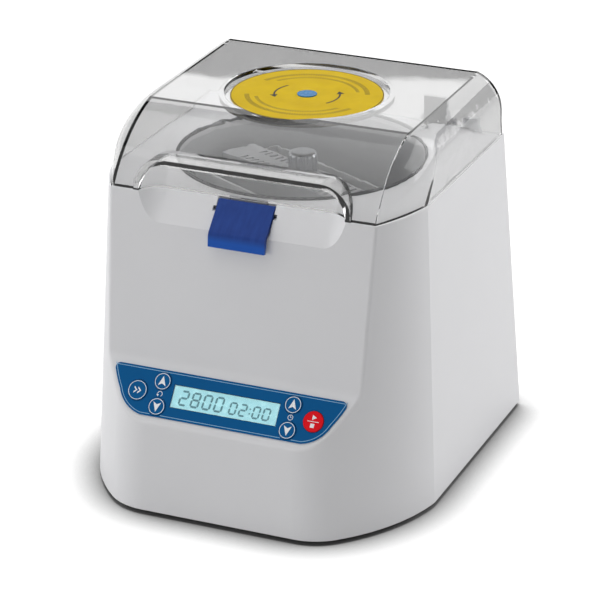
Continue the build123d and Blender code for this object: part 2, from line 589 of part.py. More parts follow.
def make_overlay():
    """Printed keypad skin: it follows the facet's outline."""
    side = [(OVERLAY_BOTTOM_HALF, OVERLAY_BOTTOM), *OVERLAY_SIDE, (OVERLAY_TOP_HALF, OVERLAY_TOP)]
    right = [ThreePointArc(side[0], side[1], side[2]), ThreePointArc(side[2], side[3], side[4])]
    left = [edge.mirror(Plane.YZ) for edge in right]
    bottom = Line((-OVERLAY_BOTTOM_HALF, OVERLAY_BOTTOM), (OVERLAY_BOTTOM_HALF, OVERLAY_BOTTOM))
    top = Line((OVERLAY_TOP_HALF, OVERLAY_TOP), (-OVERLAY_TOP_HALF, OVERLAY_TOP))
    face = make_face([bottom, *right, top, *left])
    face = fillet(face.vertices().sort_by(Axis.Y)[-2:], OVERLAY_CORNER)
    skin = PANEL * extrude(face, OVERLAY_THICKNESS, dir=(0, 0, 1))
    through, margin = (-OVERCUT, OVERLAY_THICKNESS + OVERCUT), 2 * SCREEN_MARGIN
    for x, up, radius in KEYS.values():
        skin = skin - panel_rod(radius + KEY_GAP, through, x, up)
    return skin - panel_block(SCREEN_WIDTH + margin, SCREEN_HEIGHT + margin, through, 0, SCREEN_UP)


def make_key(x, up, radius):
    """Key cap with a flange that keeps it behind the facet."""
    cap = rod(radius, (KEY_FOOT, OVERLAY_THICKNESS + KEY_PROUD))
    cap = fillet(cap.edges().sort_by(Axis.Z)[-1], KEY_EDGE)
    flange = rod(radius + KEY_FLANGE, (KEY_FOOT, KEY_FOOT + KEY_FLANGE_THICKNESS))
    return on_panel(cap + flange, x, up)


def make_key_switches():
    """Tact switches under the keys, standing on the board."""
    stem_top = KEY_FOOT - KEY_TRAVEL - KEY_SWITCH_GAP
    body_span = (-BOARD_BELOW, stem_top - KEY_SWITCH_PROUD)
    return [panel_block(KEY_SWITCH_SIDE, KEY_SWITCH_SIDE, body_span, x, up)
            + panel_rod(KEY_SWITCH_STEM, (-BOARD_BELOW, stem_top), x, up) for x, up, _ in KEYS.values()]


def make_display():
    """Display glass in the window, on its carrier on the board."""
    carrier_top = -WALL - SCREEN_GAP
    carrier = (-BOARD_BELOW, carrier_top)
    return (panel_block(SCREEN_WIDTH, SCREEN_HEIGHT, (carrier_top, -SCREEN_GAP), 0, SCREEN_UP)
            + panel_block(SCREEN_CARRIER_WIDTH, SCREEN_CARRIER_HEIGHT, carrier, 0, SCREEN_UP))


def make_display_lens():
    span = (-SCREEN_LENS_SUNK, SCREEN_LENS - SCREEN_LENS_SUNK)
    return panel_block(SCREEN_WIDTH, SCREEN_HEIGHT, span, 0, SCREEN_UP)


def board_holes():
    """Places on the facet of the screws that hold the control board."""
    return [(sx * BOARD_HOLE_X, su * BOARD_HOLE_UP) for sx in (-1, 1) for su in (-1, 1)]


def make_control_board():
    board = panel_block(BOARD_WIDTH, BOARD_HEIGHT, (BOARD_REAR, -BOARD_BELOW), 0, 0)
    for x, up in board_holes():
        board = board - panel_rod(SMALL_SCREW_RADIUS + SCREW_CLEARANCE, (BOARD_REAR - OVERCUT, 0), x, up)
    return board


def make_board_screws():
    return [panel_rod(SMALL_HEAD_RADIUS, (BOARD_REAR - SMALL_HEAD, BOARD_REAR), x, up)
            + panel_rod(SMALL_SCREW_RADIUS, (BOARD_REAR, BOARD_REAR + BOARD_SCREW), x, up)
            for x, up in board_holes()]


# ---------------------------------------------------------------- latch
def latch_y(z):
    """y of the latch's upper outer face at a height."""
    (top_y, top_z), (bend_y, bend_z) = LATCH_TOP, LATCH_BEND
    return top_y + (bend_y - top_y) * (top_z - z) / (top_z - bend_z)


def latch_z(y):
    """Height of the latch's upper outer face at a y."""
    (top_y, top_z), (bend_y, bend_z) = LATCH_TOP, LATCH_BEND
    return top_z + (bend_z - top_z) * (top_y - y) / (top_y - bend_y)


def make_latch():
    """Bent pull lever with a barrel for its pin and a nose behind."""
    (top_y, top_z), (bend_y, bend_z), (foot_y, foot_z) = LATCH_TOP, LATCH_BEND, LATCH_FOOT
    thick = LATCH_THICKNESS * hypot(bend_y - top_y, bend_z - top_z) / (top_z - bend_z)
    back_y = TONGUE_FRONT_Y - 2 * TONGUE_GAP
    plate = slab_yz([(top_y, top_z), (bend_y, bend_z), (foot_y, foot_z), (foot_y + LATCH_THICKNESS, foot_z),
                     (bend_y + thick, bend_z - LATCH_INNER_DROP), (back_y, latch_z(back_y - thick)),
                     (back_y, top_z)], LATCH_HALF_WIDTH)
    across = plate.edges().filter_by(Axis.X)
    plate = fillet(across.sort_by_distance((0, bend_y, bend_z))[0], LATCH_BEND_RADIUS)
    across = plate.edges().filter_by(Axis.X)
    plate = chamfer(across.sort_by_distance((0, foot_y, foot_z))[0], LATCH_FOOT_CHAMFER)
    nose_y = TONGUE_FRONT_Y - TONGUE_GAP
    nose = slab_yz([(latch_y(NOSE_TOP) + SINK, NOSE_TOP), (latch_y(NOSE_BOTTOM) + SINK, NOSE_BOTTOM),
                    (nose_y - NOSE_LEAN, NOSE_BOTTOM), (nose_y, NOSE_TOP)], NOSE_HALF_WIDTH)
    behind = slab_yz([(latch_y(FAR), FAR), (latch_y(0), 0), (FAR, 0), (FAR, FAR)], LATCH_HALF_WIDTH)
    lever = plate + nose + (rod_x(LATCH_BARREL, LATCH_HALF_WIDTH, *LATCH_PIVOT) & behind)
    lever = lever - rod_x(LATCH_PIN_RADIUS + RUNNING_FIT, LATCH_HALF_WIDTH + OVERCUT, *LATCH_PIVOT)
    pivot_y, pivot_z = LATCH_PIVOT
    room = SPRING_INNER + SPRING_WIRE + SPRING_CLEARANCE
    opening = block((-SPRING_GAP_HALF, SPRING_GAP_HALF), (pivot_y, FAR), (pivot_z - room, pivot_z + room))
    return lever - rod_x(room, SPRING_GAP_HALF, *LATCH_PIVOT) - opening


def make_latch_pin():
    return rod_x(LATCH_PIN_RADIUS, LATCH_HALF_WIDTH + LATCH_PIN_OVERHANG - STILL_GAP, *LATCH_PIVOT)


def make_latch_spring():
    """Torsion spring round the latch pin, drawn as one closed coil."""
    coil = rod_x(SPRING_INNER + SPRING_WIRE, SPRING_HALF, *LATCH_PIVOT)
    return coil - rod_x(SPRING_INNER, SPRING_GAP_HALF, *LATCH_PIVOT)


# ---------------------------------------------------------------- lid
def lid_front_y(z, inset):
    """y of the lid's curved front at a height: an arc from the seam to the flat top."""
    chord = hypot(LID_FRONT_EDGE - FRONT_AT_SEAM, LID_HEIGHT)
    rise = atan2(LID_HEIGHT, LID_FRONT_EDGE - FRONT_AT_SEAM)
    reach = sqrt(LID_FRONT_RADIUS ** 2 - chord ** 2 / 4)
    centre_y = (FRONT_AT_SEAM + LID_FRONT_EDGE) / 2 + reach * sin(rise)
    centre_z = (SEAM_Z + LID_TOP_Z) / 2 - reach * cos(rise)
    return centre_y - sqrt((LID_FRONT_RADIUS - inset) ** 2 - (z - centre_z) ** 2)


def lid_side_x(height, inset):
    """Half width of the lid's sides at a height above the seam: nearly upright, then rounded over."""
    round_x = SEAM_HALF_WIDTH - LID_INSET - LID_BAND_LEAN * height / LID_HEIGHT - LID_ROUND_RADIUS
    above = max(height - LID_ROUND_START, 0.0)
    return round_x + sqrt((LID_ROUND_RADIUS - inset) ** 2 - above ** 2)


def lid_wire(height, inset):
    """Plan of the lid at a height above the seam: straight front, round corners, straight sides."""
    z = SEAM_Z + height
    front_x = LID_EDGE_HALF - LID_EDGE_LEAN * height / LID_HEIGHT - inset * LID_EDGE_SHARE
    start = (front_x, lid_front_y(z, inset))
    crease = max(1 - height / LID_ROUND_START, 0.0)
    end = (lid_side_x(height, inset), LID_CORNER_FOOT_Y + LID_CORNER_SLANT * height)
    run = (end[0] - start[0], end[1] - start[1])
    bow = tan((atan2(run[0], run[1]) - radians(LID_CREASE) * crease) / 2) / 2
    middle = ((start[0] + end[0]) / 2 + bow * run[1], (start[1] + end[1]) / 2 - bow * run[0])
    rear_y = LID_REAR_Y - inset
    right = [ThreePointArc((*start, z), (*middle, z), (*end, z)), Line((*end, z), (end[0], rear_y, z))]
    left = [edge.mirror(Plane.YZ) for edge in right]
    front = Line((-start[0], start[1], z), (*start, z))
    rear = Line((end[0], rear_y, z), (-end[0], rear_y, z))
    return Wire([front, *right, rear, *left[::-1]])


def lid_form(inset):
    """The lid's outer form moved inwards, drawn through its plans at several heights."""
    heights = [share * LID_HEIGHT for share in LID_LEVELS]
    heights[-1] = LID_HEIGHT - inset
    return Solid.make_loft([lid_wire(height, inset) for height in heights], ruled=False)


def make_lid():
    """Clear shell: curved front with a handle lip over the scoop, and a recess for the label."""
    outer = lid_form(0.0)
    rear = outer.faces().sort_by(Axis.Y)[-1]
    outer = fillet([e for e in rear.edges() if e.center().Z > SEAM_Z + NEAR], LID_REAR_EDGE)
    lip = arch(0.0, LIP_FRONT_Y, -LIP_FRONT_Y) - arch(LIP_THICKNESS, LIP_FRONT_Y - OVERCUT, LIP_INNER_REAR)
    lip = lip & block((-FAR, FAR), (-FAR, LID_FRONT_EDGE), (SEAM_Z, LID_TOP_Z))
    recess = scoop_above(0.0) & arch(LIP_THICKNESS, -FAR, FAR)
    hollow = lid_form(LID_WALL) - scoop_above(LID_WALL)
    hollow = hollow - rod(RECESS_RADIUS + LID_WALL, (RECESS_FLOOR_Z - LID_WALL, LID_TOP_Z), (0, DISC_Y))
    shell = (outer + lip) - recess - hollow
    shell = shell - rod(RECESS_RADIUS, (RECESS_FLOOR_Z, LID_TOP_Z + OVERCUT), (0, DISC_Y))
    shell = shell & block((-FAR, FAR), (-FAR, FAR), (LID_BOTTOM_Z, LID_TOP_Z + OVERCUT))
    return shell + block((-TONGUE_HALF_WIDTH, TONGUE_HALF_WIDTH),
                         (TONGUE_FRONT_Y, TONGUE_FRONT_Y + TONGUE_THICKNESS),
                         (TONGUE_BOTTOM, LID_BOTTOM_Z + TONGUE_ROOT))


def make_disc():
    return rod(DISC_RADIUS, (RECESS_FLOOR_Z, RECESS_FLOOR_Z + DISC_THICKNESS), (0, DISC_Y))


def make_dot():
    low = RECESS_FLOOR_Z + DISC_THICKNESS
    return rod(DOT_RADIUS, (low, low + DOT_HEIGHT), (0, DISC_Y))


def make_magnet():
    width, deep, tall = MAGNET
    rear, low = LID_REAR_Y - LID_WALL, LID_BOTTOM_Z + MAGNET_UP
    return block((MAGNET_X - width / 2, MAGNET_X + width / 2), (rear - deep, rear), (low, low + tall))


# ---------------------------------------------------------------- hinges
def hinge_screw_points():
    """x and z of the screws that hold the hinge brackets to the rear wall."""
    middle, half = (HINGE_PLATE_BOTTOM + HINGE_PLATE_TOP) / 2, HINGE_SCREW_PITCH / 2
    return [(side * HINGE_X + dx, middle) for side in (-1, 1) for dx in (-half, half)]


def make_hinge_bracket(x):
    """Bracket on the rear wall: a plate and two ears that hold the pin."""
    axis_y, axis_z = HINGE_AXIS
    ear_profile = [(axis_y + dy, axis_z + dz) for dy, dz in HINGE_EAR_SHAPE]
    ear_x = HINGE_ARM_HALF + HINGE_EAR_GAP + HINGE_EAR / 2
    ears = [slab_yz(ear_profile, HINGE_EAR / 2, x + sx * ear_x)
            + rod_x(HINGE_KNUCKLE, HINGE_EAR / 2, axis_y, axis_z, x + sx * ear_x) for sx in (-1, 1)]
    low, high = rear_wall_y(HINGE_PLATE_BOTTOM), rear_wall_y(HINGE_PLATE_TOP)
    plate = slab_yz([(low - SINK, HINGE_PLATE_BOTTOM), (low + HINGE_PLATE, HINGE_PLATE_BOTTOM),
                     (high + HINGE_PLATE, HINGE_PLATE_TOP), (high - SINK, HINGE_PLATE_TOP)], ear_x, x)
    bracket = joined([plate, *ears]) - housing_form(0.0)
    bracket = bracket - rod_x(HINGE_PIN_RADIUS + RUNNING_FIT, ear_x + HINGE_EAR, axis_y, axis_z, x)
    for screw_x, z in hinge_screw_points():
        bracket = bracket - rear_plane(screw_x, z) * Cylinder(HINGE_SCREW_RADIUS + SCREW_CLEARANCE,
                                                              4 * HINGE_PLATE)
    return bracket


def make_hinge_arm(x):
    """Arm on the lid's rear wall, with the knuckle that turns on the pin."""
    axis_y, axis_z = HINGE_AXIS
    outer_y = LID_REAR_Y + HINGE_ARM_PLATE
    neck = [(axis_y + dy, axis_z + dz) for dy, dz in HINGE_NECK_SHAPE]
    arm = slab_yz([(LID_REAR_Y, HINGE_ARM_BOTTOM), (LID_REAR_Y, HINGE_ARM_TOP), (outer_y, HINGE_ARM_TOP),
                   (outer_y, HINGE_ARM_BOTTOM + HINGE_GUSSET), *neck], HINGE_ARM_HALF, x)
    arm = arm + rod_x(HINGE_KNUCKLE, HINGE_ARM_HALF, axis_y, axis_z, x)
    return arm - rod_x(HINGE_PIN_RADIUS + RUNNING_FIT, HINGE_ARM_HALF + OVERCUT, axis_y, axis_z, x)


def make_hinge_pin(x):
    half = HINGE_ARM_HALF + HINGE_EAR_GAP + HINGE_EAR + HINGE_PIN_PROUD
    return rod_x(HINGE_PIN_RADIUS, half, *HINGE_AXIS, x)


def make_hinge_screws():
    """Screws through the bracket plates into the rear wall."""
    head_z = HINGE_PLATE * cos(REAR_LEAN)
    screw = (rod(HINGE_SCREW_HEAD, (head_z, head_z + HINGE_SCREW_HEAD_HEIGHT))
             + rod(HINGE_SCREW_RADIUS, (-WALL - HINGE_SCREW_PAST, head_z)))
    return [rear_plane(x, z) * screw for x, z in hinge_screw_points()]


# ---------------------------------------------------------------- bowl and rotor
def make_bowl():
    """Spin bowl hung under the deck, its flange trimmed to the housing and the latch pocket."""
    top = SEAM_Z - DECK
    outside = BOWL_RADIUS + BOWL_WALL
    bowl = rod(outside, (BOWL_FLOOR_Z, top), (0, AXIS_Y))
    bowl = bowl - rod(BOWL_RADIUS, (BOWL_FLOOR_Z + BOWL_WALL, top + OVERCUT), (0, AXIS_Y))
    bowl = bowl + ring(outside + BOWL_FLANGE, BOWL_RADIUS, (top - BOWL_WALL, top), (0, AXIS_Y))
    bowl = bowl & (housing_form(WALL + STILL_GAP) - front_cutter(WALL + STILL_GAP))
    bowl = bowl - latch_pocket(POCKET_WALL + STILL_GAP)
    return bowl - rod(BOWL_HOLE_RADIUS, (0, BOWL_FLOOR_Z + BOWL_WALL + OVERCUT), (0, AXIS_Y))


def make_gasket():
    gasket = ring(BOWL_RADIUS + GASKET_WIDTH, BOWL_RADIUS, (SEAM_Z, SEAM_Z + GASKET_HEIGHT), (0, AXIS_Y))
    return fillet(gasket.faces().sort_by(Axis.Z)[-1].edges(), GASKET_EDGE)


def make_seal():
    low = BOWL_FLOOR_Z + BOWL_WALL
    return ring(SEAL_RADIUS, SHAFT_RADIUS + RUNNING_FIT, (low, low + SEAL_HEIGHT), (0, AXIS_Y))


def turned(solid):
    """Place a rotor piece: modelled with its spine along X about the origin."""
    return Pos(0, AXIS_Y, 0) * Rot(0, 0, ROTOR_ANGLE) * solid


def make_rotor_floor():
    disc = rod(ROTOR_RADIUS, (ROTOR_FLOOR_Z, ROTOR_FLOOR_TOP)) - rod(HUB_BOSS_RADIUS + PRESS_FIT, (0, FAR))
    return turned(disc)


def make_rotor_hub():
    low = ROTOR_FLOOR_Z - HUB_FLANGE
    hub = rod(HUB_RADIUS, (low, ROTOR_FLOOR_Z)) + rod(HUB_BOSS_RADIUS, (low, ROTOR_FLOOR_TOP))
    return turned(hub - rod(SHAFT_RADIUS + PRESS_FIT, (0, FAR)))


def make_spine():
    """Middle wall of the rotor, with rows of slots in its top face."""
    spine = block((-BAY_LENGTH / 2, BAY_LENGTH / 2), (-SPINE_WIDTH / 2, SPINE_WIDTH / 2),
                  (ROTOR_FLOOR_TOP, SPINE_TOP_Z)) & rod(ROTOR_RADIUS, (0, FAR))
    for sx in (-1, 1):
        for i in range(SPINE_SLOTS):
            x = sx * (KNOB_RADIUS + SPINE_SLOT_START + i * SPINE_SLOT_PITCH)
            for sy in (-1, 1):
                y = sy * (SPINE_WIDTH / 2 - SPINE_SLOT_LENGTH / 2 - SPINE_SLOT_MARGIN)
                spine = spine - block((x - SPINE_SLOT_WIDTH / 2, x + SPINE_SLOT_WIDTH / 2),
                                      (y - SPINE_SLOT_LENGTH / 2, y + SPINE_SLOT_LENGTH / 2),
                                      (SPINE_TOP_Z - SPINE_SLOT_DEPTH, SPINE_TOP_Z + OVERCUT))
    return turned(spine - rod(SHAFT_RADIUS + PRESS_FIT, (0, FAR)))


def make_basket(side):
    """Plate basket on one side of the spine: an outer wall with turned-in ends."""
    half, outer_y, height = BAY_LENGTH / 2, BAY_FAR + BASKET_WALL, (ROTOR_FLOOR_TOP, BASKET_TOP_Z)
    outside = block((-half - BASKET_WALL, half + BASKET_WALL), (BAY_NEAR, outer_y), height)
    basket = outside - block((-half, half), (BAY_NEAR - OVERCUT, BAY_FAR),
                             (ROTOR_FLOOR_TOP - OVERCUT, BASKET_TOP_Z + OVERCUT))
    basket = basket & rod(ROTOR_RADIUS, (0, FAR))
    return turned(basket if side > 0 else basket.mirror(Plane.XZ))


def make_knob():
    """Fluted clamping knob on the shaft's end, with a domed top."""
    low, high = SPINE_TOP_Z, SPINE_TOP_Z + KNOB_HEIGHT
    knob = rod(KNOB_RADIUS, (low, high))
    knob = fillet(knob.edges().sort_by(Axis.Z)[-1], KNOB_DOME)
    circle = KNOB_RADIUS + KNOB_FLUTE_OUT
    for i in range(KNOB_FLUTES):
        angle = radians(360.0 / KNOB_FLUTES * i)
        at = (circle * cos(angle), circle * sin(angle))
        knob = knob - rod(KNOB_FLUTE_RADIUS, (low + KNOB_SKIRT, high + OVERCUT), at)
    return turned(knob - rod(SHAFT_RADIUS + PRESS_FIT, (low - OVERCUT, low + SHAFT_TOP_IN_KNOB + STILL_GAP)))


def make_shaft():
    low = MOTOR_BOTTOM_Z + MOTOR_CAP + STILL_GAP
    return rod(SHAFT_RADIUS, (low, SPINE_TOP_Z + SHAFT_TOP_IN_KNOB), (0, AXIS_Y))


# ---------------------------------------------------------------- motor and its mounting
def bearing_places():
    return [(MOTOR_BOTTOM_Z + MOTOR_CAP, MOTOR_BOTTOM_Z + MOTOR_CAP + BEARING_WIDTH),
            (BRACKET_Z - BEARING_WIDTH, BRACKET_Z)]


def motor_screw_points():
    spread = MOTOR_SCREW_CIRCLE / sqrt(2)
    return [(sx * spread, AXIS_Y + sy * spread) for sx in (-1, 1) for sy in (-1, 1)]


def make_motor_can():
    """Motor housing: a can with a bearing seat in each end."""
    can = rod(MOTOR_RADIUS, (MOTOR_BOTTOM_Z, BRACKET_Z), (0, AXIS_Y))
    (low, low_top), (high, high_top) = bearing_places()
    can = can - rod(MOTOR_RADIUS - MOTOR_WALL, (low_top, high), (0, AXIS_Y))
    can = can - rod(BEARING_RADIUS, (low, low_top + OVERCUT), (0, AXIS_Y))
    can = can - rod(BEARING_RADIUS, (high - OVERCUT, high_top + OVERCUT), (0, AXIS_Y))
    for at in motor_screw_points():
        can = can - rod(MOTOR_SCREW_RADIUS, (BRACKET_Z - MOTOR_SCREW_LENGTH, BRACKET_Z + OVERCUT), at)
    return can


def winding_span():
    """Heights between which the stator and the core lie."""
    middle = (bearing_places()[0][1] + bearing_places()[1][0]) / 2
    return (middle - STATOR_LENGTH / 2, middle + STATOR_LENGTH / 2)


def make_stator():
    return ring(MOTOR_RADIUS - MOTOR_WALL - PRESS_FIT, STATOR_BORE, winding_span(), (0, AXIS_Y))


def make_motor_core():
    return ring(STATOR_BORE - AIR_GAP, SHAFT_RADIUS + PRESS_FIT, winding_span(), (0, AXIS_Y))


def make_bearings():
    """Two ball bearings, each drawn as one closed ring."""
    return [ring(BEARING_RADIUS - PRESS_FIT, SHAFT_RADIUS + RUNNING_FIT, place, (0, AXIS_Y))
            for place in bearing_places()]


def pillar_points():
    half = PILLAR_HALF_PITCH
    return [(sx * half, AXIS_Y + sy * half) for sx in (-1, 1) for sy in (-1, 1)]


def make_motor_bracket():
    bracket = block((-BRACKET_HALF, BRACKET_HALF), (AXIS_Y - BRACKET_HALF, AXIS_Y + BRACKET_HALF),
                    (BRACKET_Z, BRACKET_Z + BRACKET_THICKNESS))
    bracket = fillet(bracket.edges().filter_by(Axis.Z), DAMPER_RADIUS)
    bracket = bracket - rod(BRACKET_HOLE, (0, FAR), (0, AXIS_Y))
    for at in pillar_points() + motor_screw_points():
        bracket = bracket - rod(MOTOR_SCREW_RADIUS + SCREW_CLEARANCE, (0, FAR), at)
    return bracket


def make_pillars():
    top = BRACKET_Z - DAMPER_HEIGHT
    bore = (top - PILLAR_BORE, top + OVERCUT)
    return [rod(PILLAR_RADIUS, (PLATE_TOP, top), at) - rod(MOTOR_SCREW_RADIUS + RUNNING_FIT, bore, at)
            for at in pillar_points()]


def make_dampers():
    return [ring(DAMPER_RADIUS, MOTOR_SCREW_RADIUS + RUNNING_FIT, (BRACKET_Z - DAMPER_HEIGHT, BRACKET_Z), at)
            for at in pillar_points()]


def make_bracket_screws():
    """Screws down through the bracket into the pillars and into the motor."""
    top = BRACKET_Z + BRACKET_THICKNESS
    fixings = [(at, MOTOR_SCREW_RADIUS, top - PILLAR_SCREW) for at in pillar_points()]
    fixings += [(at, MOTOR_SCREW_RADIUS - PRESS_FIT, BRACKET_Z - MOTOR_SCREW_LENGTH + STILL_GAP)
                for at in motor_screw_points()]
    return [rod(SCREW_HEAD_RADIUS, (top, top + SCREW_HEAD), at) + rod(radius, (low, top), at)
            for at, radius, low in fixings]


# ---------------------------------------------------------------- base
def make_base_plate():
    plate = extrude(make_face(base_wire(WALL + PLATE_GAP)), PLATE_THICKNESS, dir=(0, 0, 1))
    for at in four(BOSS_PLACES):
        plate = plate - rod(PILOT_RADIUS + SCREW_CLEARANCE, (0, FAR), at)
    for at in four(FOOT_PLACES):
        plate = plate - rod(FOOT_STEM_RADIUS, (0, FAR), at)
    return plate


def make_feet():
    """Rubber feet pushed into the base plate by their stems."""
    feet = []
    for at in four(FOOT_PLACES):
        pad = rod(FOOT_RADIUS, (0, FOOT_HEIGHT), at)
        pad = fillet(pad.edges().sort_by(Axis.Z)[0], FOOT_EDGE)
        stem = (FOOT_HEIGHT - SINK, FOOT_HEIGHT + FOOT_STEM)
        feet.append(pad + rod(FOOT_STEM_RADIUS - PRESS_FIT, stem, at))
    return feet


def make_base_screws():
    shank = (FOOT_HEIGHT, PLATE_TOP + BASE_SCREW)
    return [rod(SCREW_HEAD_RADIUS, (FOOT_HEIGHT - SCREW_HEAD, FOOT_HEIGHT), at)
            + rod(PILOT_RADIUS - RUNNING_FIT, shank, at) for at in four(BOSS_PLACES)]


def make_power_board():
    """Power board with its supply block and a capacitor."""
    (wide, deep), (x, y), (block_x, block_y, block_z) = POWER_BOARD, POWER_BOARD_AT, POWER_BLOCK
    low, top = POWER_BOARD_Z, POWER_BOARD_Z + BOARD_THICKNESS
    board = block((-wide / 2, wide / 2), (-deep / 2, deep / 2), (low, top))
    supply = Pos(*POWER_BLOCK_AT) * block((-block_x / 2, block_x / 2), (-block_y / 2, block_y / 2),
                                          (top, top + block_z))
    capacitor = rod(CAPACITOR_RADIUS, (top, top + CAPACITOR_HEIGHT), CAPACITOR_AT)
    return Pos(x, y) * (board + supply + capacitor)


def make_board_standoffs():
    (wide, deep), (x, y) = POWER_BOARD, POWER_BOARD_AT
    dx, dy = wide / 2 - STANDOFF_INSET, deep / 2 - STANDOFF_INSET
    return [rod(STANDOFF_RADIUS, (PLATE_TOP, POWER_BOARD_Z), (x + sx * dx, y + sy * dy))
            for sx in (-1, 1) for sy in (-1, 1)]


# ---------------------------------------------------------------- rear fittings
def make_inlet():
    """Mains inlet: a flanged block with a socket and three contact blades."""
    inlet = flanged_box(INLET_WIDTH, INLET_HEIGHT, INLET_DEPTH, INLET_FLANGE, INLET_FLANGE_THICKNESS,
                        INLET_CORNER)
    half_x, half_y = INLET_WIDTH / 2 - INLET_SOCKET_WALL, INLET_HEIGHT / 2 - INLET_SOCKET_WALL
    floor = -INLET_SOCKET_DEPTH
    inlet = inlet - block((-half_x, half_x), (-half_y, half_y), (floor, INLET_FLANGE_THICKNESS + OVERCUT))
    for x, up in INLET_BLADES:
        blade = block((-BLADE_WIDTH / 2, BLADE_WIDTH / 2), (-BLADE_THICKNESS / 2, BLADE_THICKNESS / 2),
                      (floor - SINK, floor + BLADE_LENGTH))
        inlet = inlet + Pos(x, up) * blade
    return rear_plane(INLET_X, REAR_FITTINGS_Z) * inlet


def make_switch_body():
    """Frame of the mains switch, open in front, with the rocker's pivot holes."""
    body = flanged_box(SWITCH_WIDTH, SWITCH_HEIGHT, SWITCH_DEPTH, SWITCH_FLANGE, SWITCH_FLANGE_THICKNESS,
                       SWITCH_CORNER)
    half_x = ROCKER_WIDTH / 2 + SWITCH_SIDE_GAP
    cavity = block((-half_x, half_x), (-SWITCH_CAVITY_HALF, SWITCH_CAVITY_HALF),
                   (SWITCH_WALL - SWITCH_DEPTH, SWITCH_FLANGE_THICKNESS + OVERCUT))
    pivot = rod_x(ROCKER_STUB_RADIUS + RUNNING_FIT, half_x + PIVOT_DEPTH, 0, -ROCKER_PIVOT_BELOW)
    return rear_plane(ROCKER_X, REAR_FITTINGS_Z) * (body - cavity - pivot)


def make_rocker():
    """Rocker at its off end: two flats that meet at the pivot line."""
    dip, keel_half = ROCKER_HALF * tan(radians(ROCKER_ANGLE)), ROCKER_HALF * ROCKER_TAPER
    rocker = slab_yz([(-ROCKER_HALF, ROCKER_CREST), (0, ROCKER_CREST - dip), (ROCKER_HALF, ROCKER_CREST),
                      (keel_half, -ROCKER_KEEL), (-keel_half, -ROCKER_KEEL)], ROCKER_WIDTH / 2)
    rocker = rocker + rod_x(ROCKER_STUB_RADIUS, ROCKER_WIDTH / 2 + SWITCH_SIDE_GAP + ROCKER_STUB, 0, 0)
    at_rest = Pos(0, 0, -ROCKER_PIVOT_BELOW) * Rot(ROCKER_ANGLE, 0, 0) * rocker
    return rear_plane(ROCKER_X, REAR_FITTINGS_Z) * at_rest


def make_sensor():
    """Lid sensor under the deck, below the lid's magnet."""
    width, deep, tall = SENSOR
    rear = LID_REAR_Y - LID_WALL - SENSOR_INWARDS
    return block((MAGNET_X - width / 2, MAGNET_X + width / 2), (rear - deep, rear),
                 (SEAM_Z - DECK - tall, SEAM_Z - DECK))


# ---------------------------------------------------------------- every node
NODES = {
    "housing": lambda: [make_housing()],
    "base_plate": lambda: [make_base_plate()],
    "feet": make_feet,
    "base_screws": make_base_screws,
    "spin_bowl": lambda: [make_bowl()],
    "bowl_gasket": lambda: [make_gasket()],
    "shaft_seal": lambda: [make_seal()],
    "keypad_overlay": lambda: [make_overlay()],
    "display_module": lambda: [make_display()],
    "display_lens": lambda: [make_display_lens()],
    "key_switches": make_key_switches,
    "control_board": lambda: [make_control_board()],
    "board_screws": make_board_screws,
    "latch_lever": lambda: [make_latch()],
    "latch_pin": lambda: [make_latch_pin()],
    "latch_spring": lambda: [make_latch_spring()],
    "lid_shell": lambda: [make_lid()],
    "lid_label_disc": lambda: [make_disc()],
    "lid_centre_dot": lambda: [make_dot()],
    "lid_magnet": lambda: [make_magnet()],
    "lid_sensor": lambda: [make_sensor()],
    "hinge_brackets": lambda: [make_hinge_bracket(sx * HINGE_X) for sx in (-1, 1)],
    "hinge_arms": lambda: [make_hinge_arm(sx * HINGE_X) for sx in (-1, 1)],
    "hinge_pins": lambda: [make_hinge_pin(sx * HINGE_X) for sx in (-1, 1)],
    "hinge_screws": make_hinge_screws,
    "rotor_floor": lambda: [make_rotor_floor()],
    "rotor_hub": lambda: [make_rotor_hub()],
    "rotor_spine": lambda: [make_spine()],
    "plate_basket_a": lambda: [make_basket(1)],
    "plate_basket_b": lambda: [make_basket(-1)],
    "rotor_knob": lambda: [make_knob()],
    "drive_shaft": lambda: [make_shaft()],
    "motor_core": lambda: [make_motor_core()],
    "motor_can": lambda: [make_motor_can()],
    "motor_stator": lambda: [make_stator()],
    "shaft_bearings": make_bearings,
    "motor_bracket": lambda: [make_motor_bracket()],
    "motor_pillars": make_pillars,
    "motor_dampers": make_dampers,
    "bracket_screws": make_bracket_screws,
    "power_board": lambda: [make_power_board()],
    "board_standoffs": make_board_standoffs,
    "power_inlet": lambda: [make_inlet()],
    "switch_body": lambda: [make_switch_body()],
    "power_rocker": lambda: [make_rocker()],
}
for key_name, key_place in KEYS.items():
    NODES[key_name] = lambda place=key_place: [make_key(*place)]

for node, make in NODES.items():
    solids = [solid for shape in make() for solid in shape.solids()]
    export_step(solids[0] if len(solids) == 1 else Compound(children=solids), f"parts/{node}.step")
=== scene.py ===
from itertools import pairwise
from math import atan2, cos, hypot, pi, radians, sin, tau

import bmesh
import bpy
from mathutils import Matrix, Vector


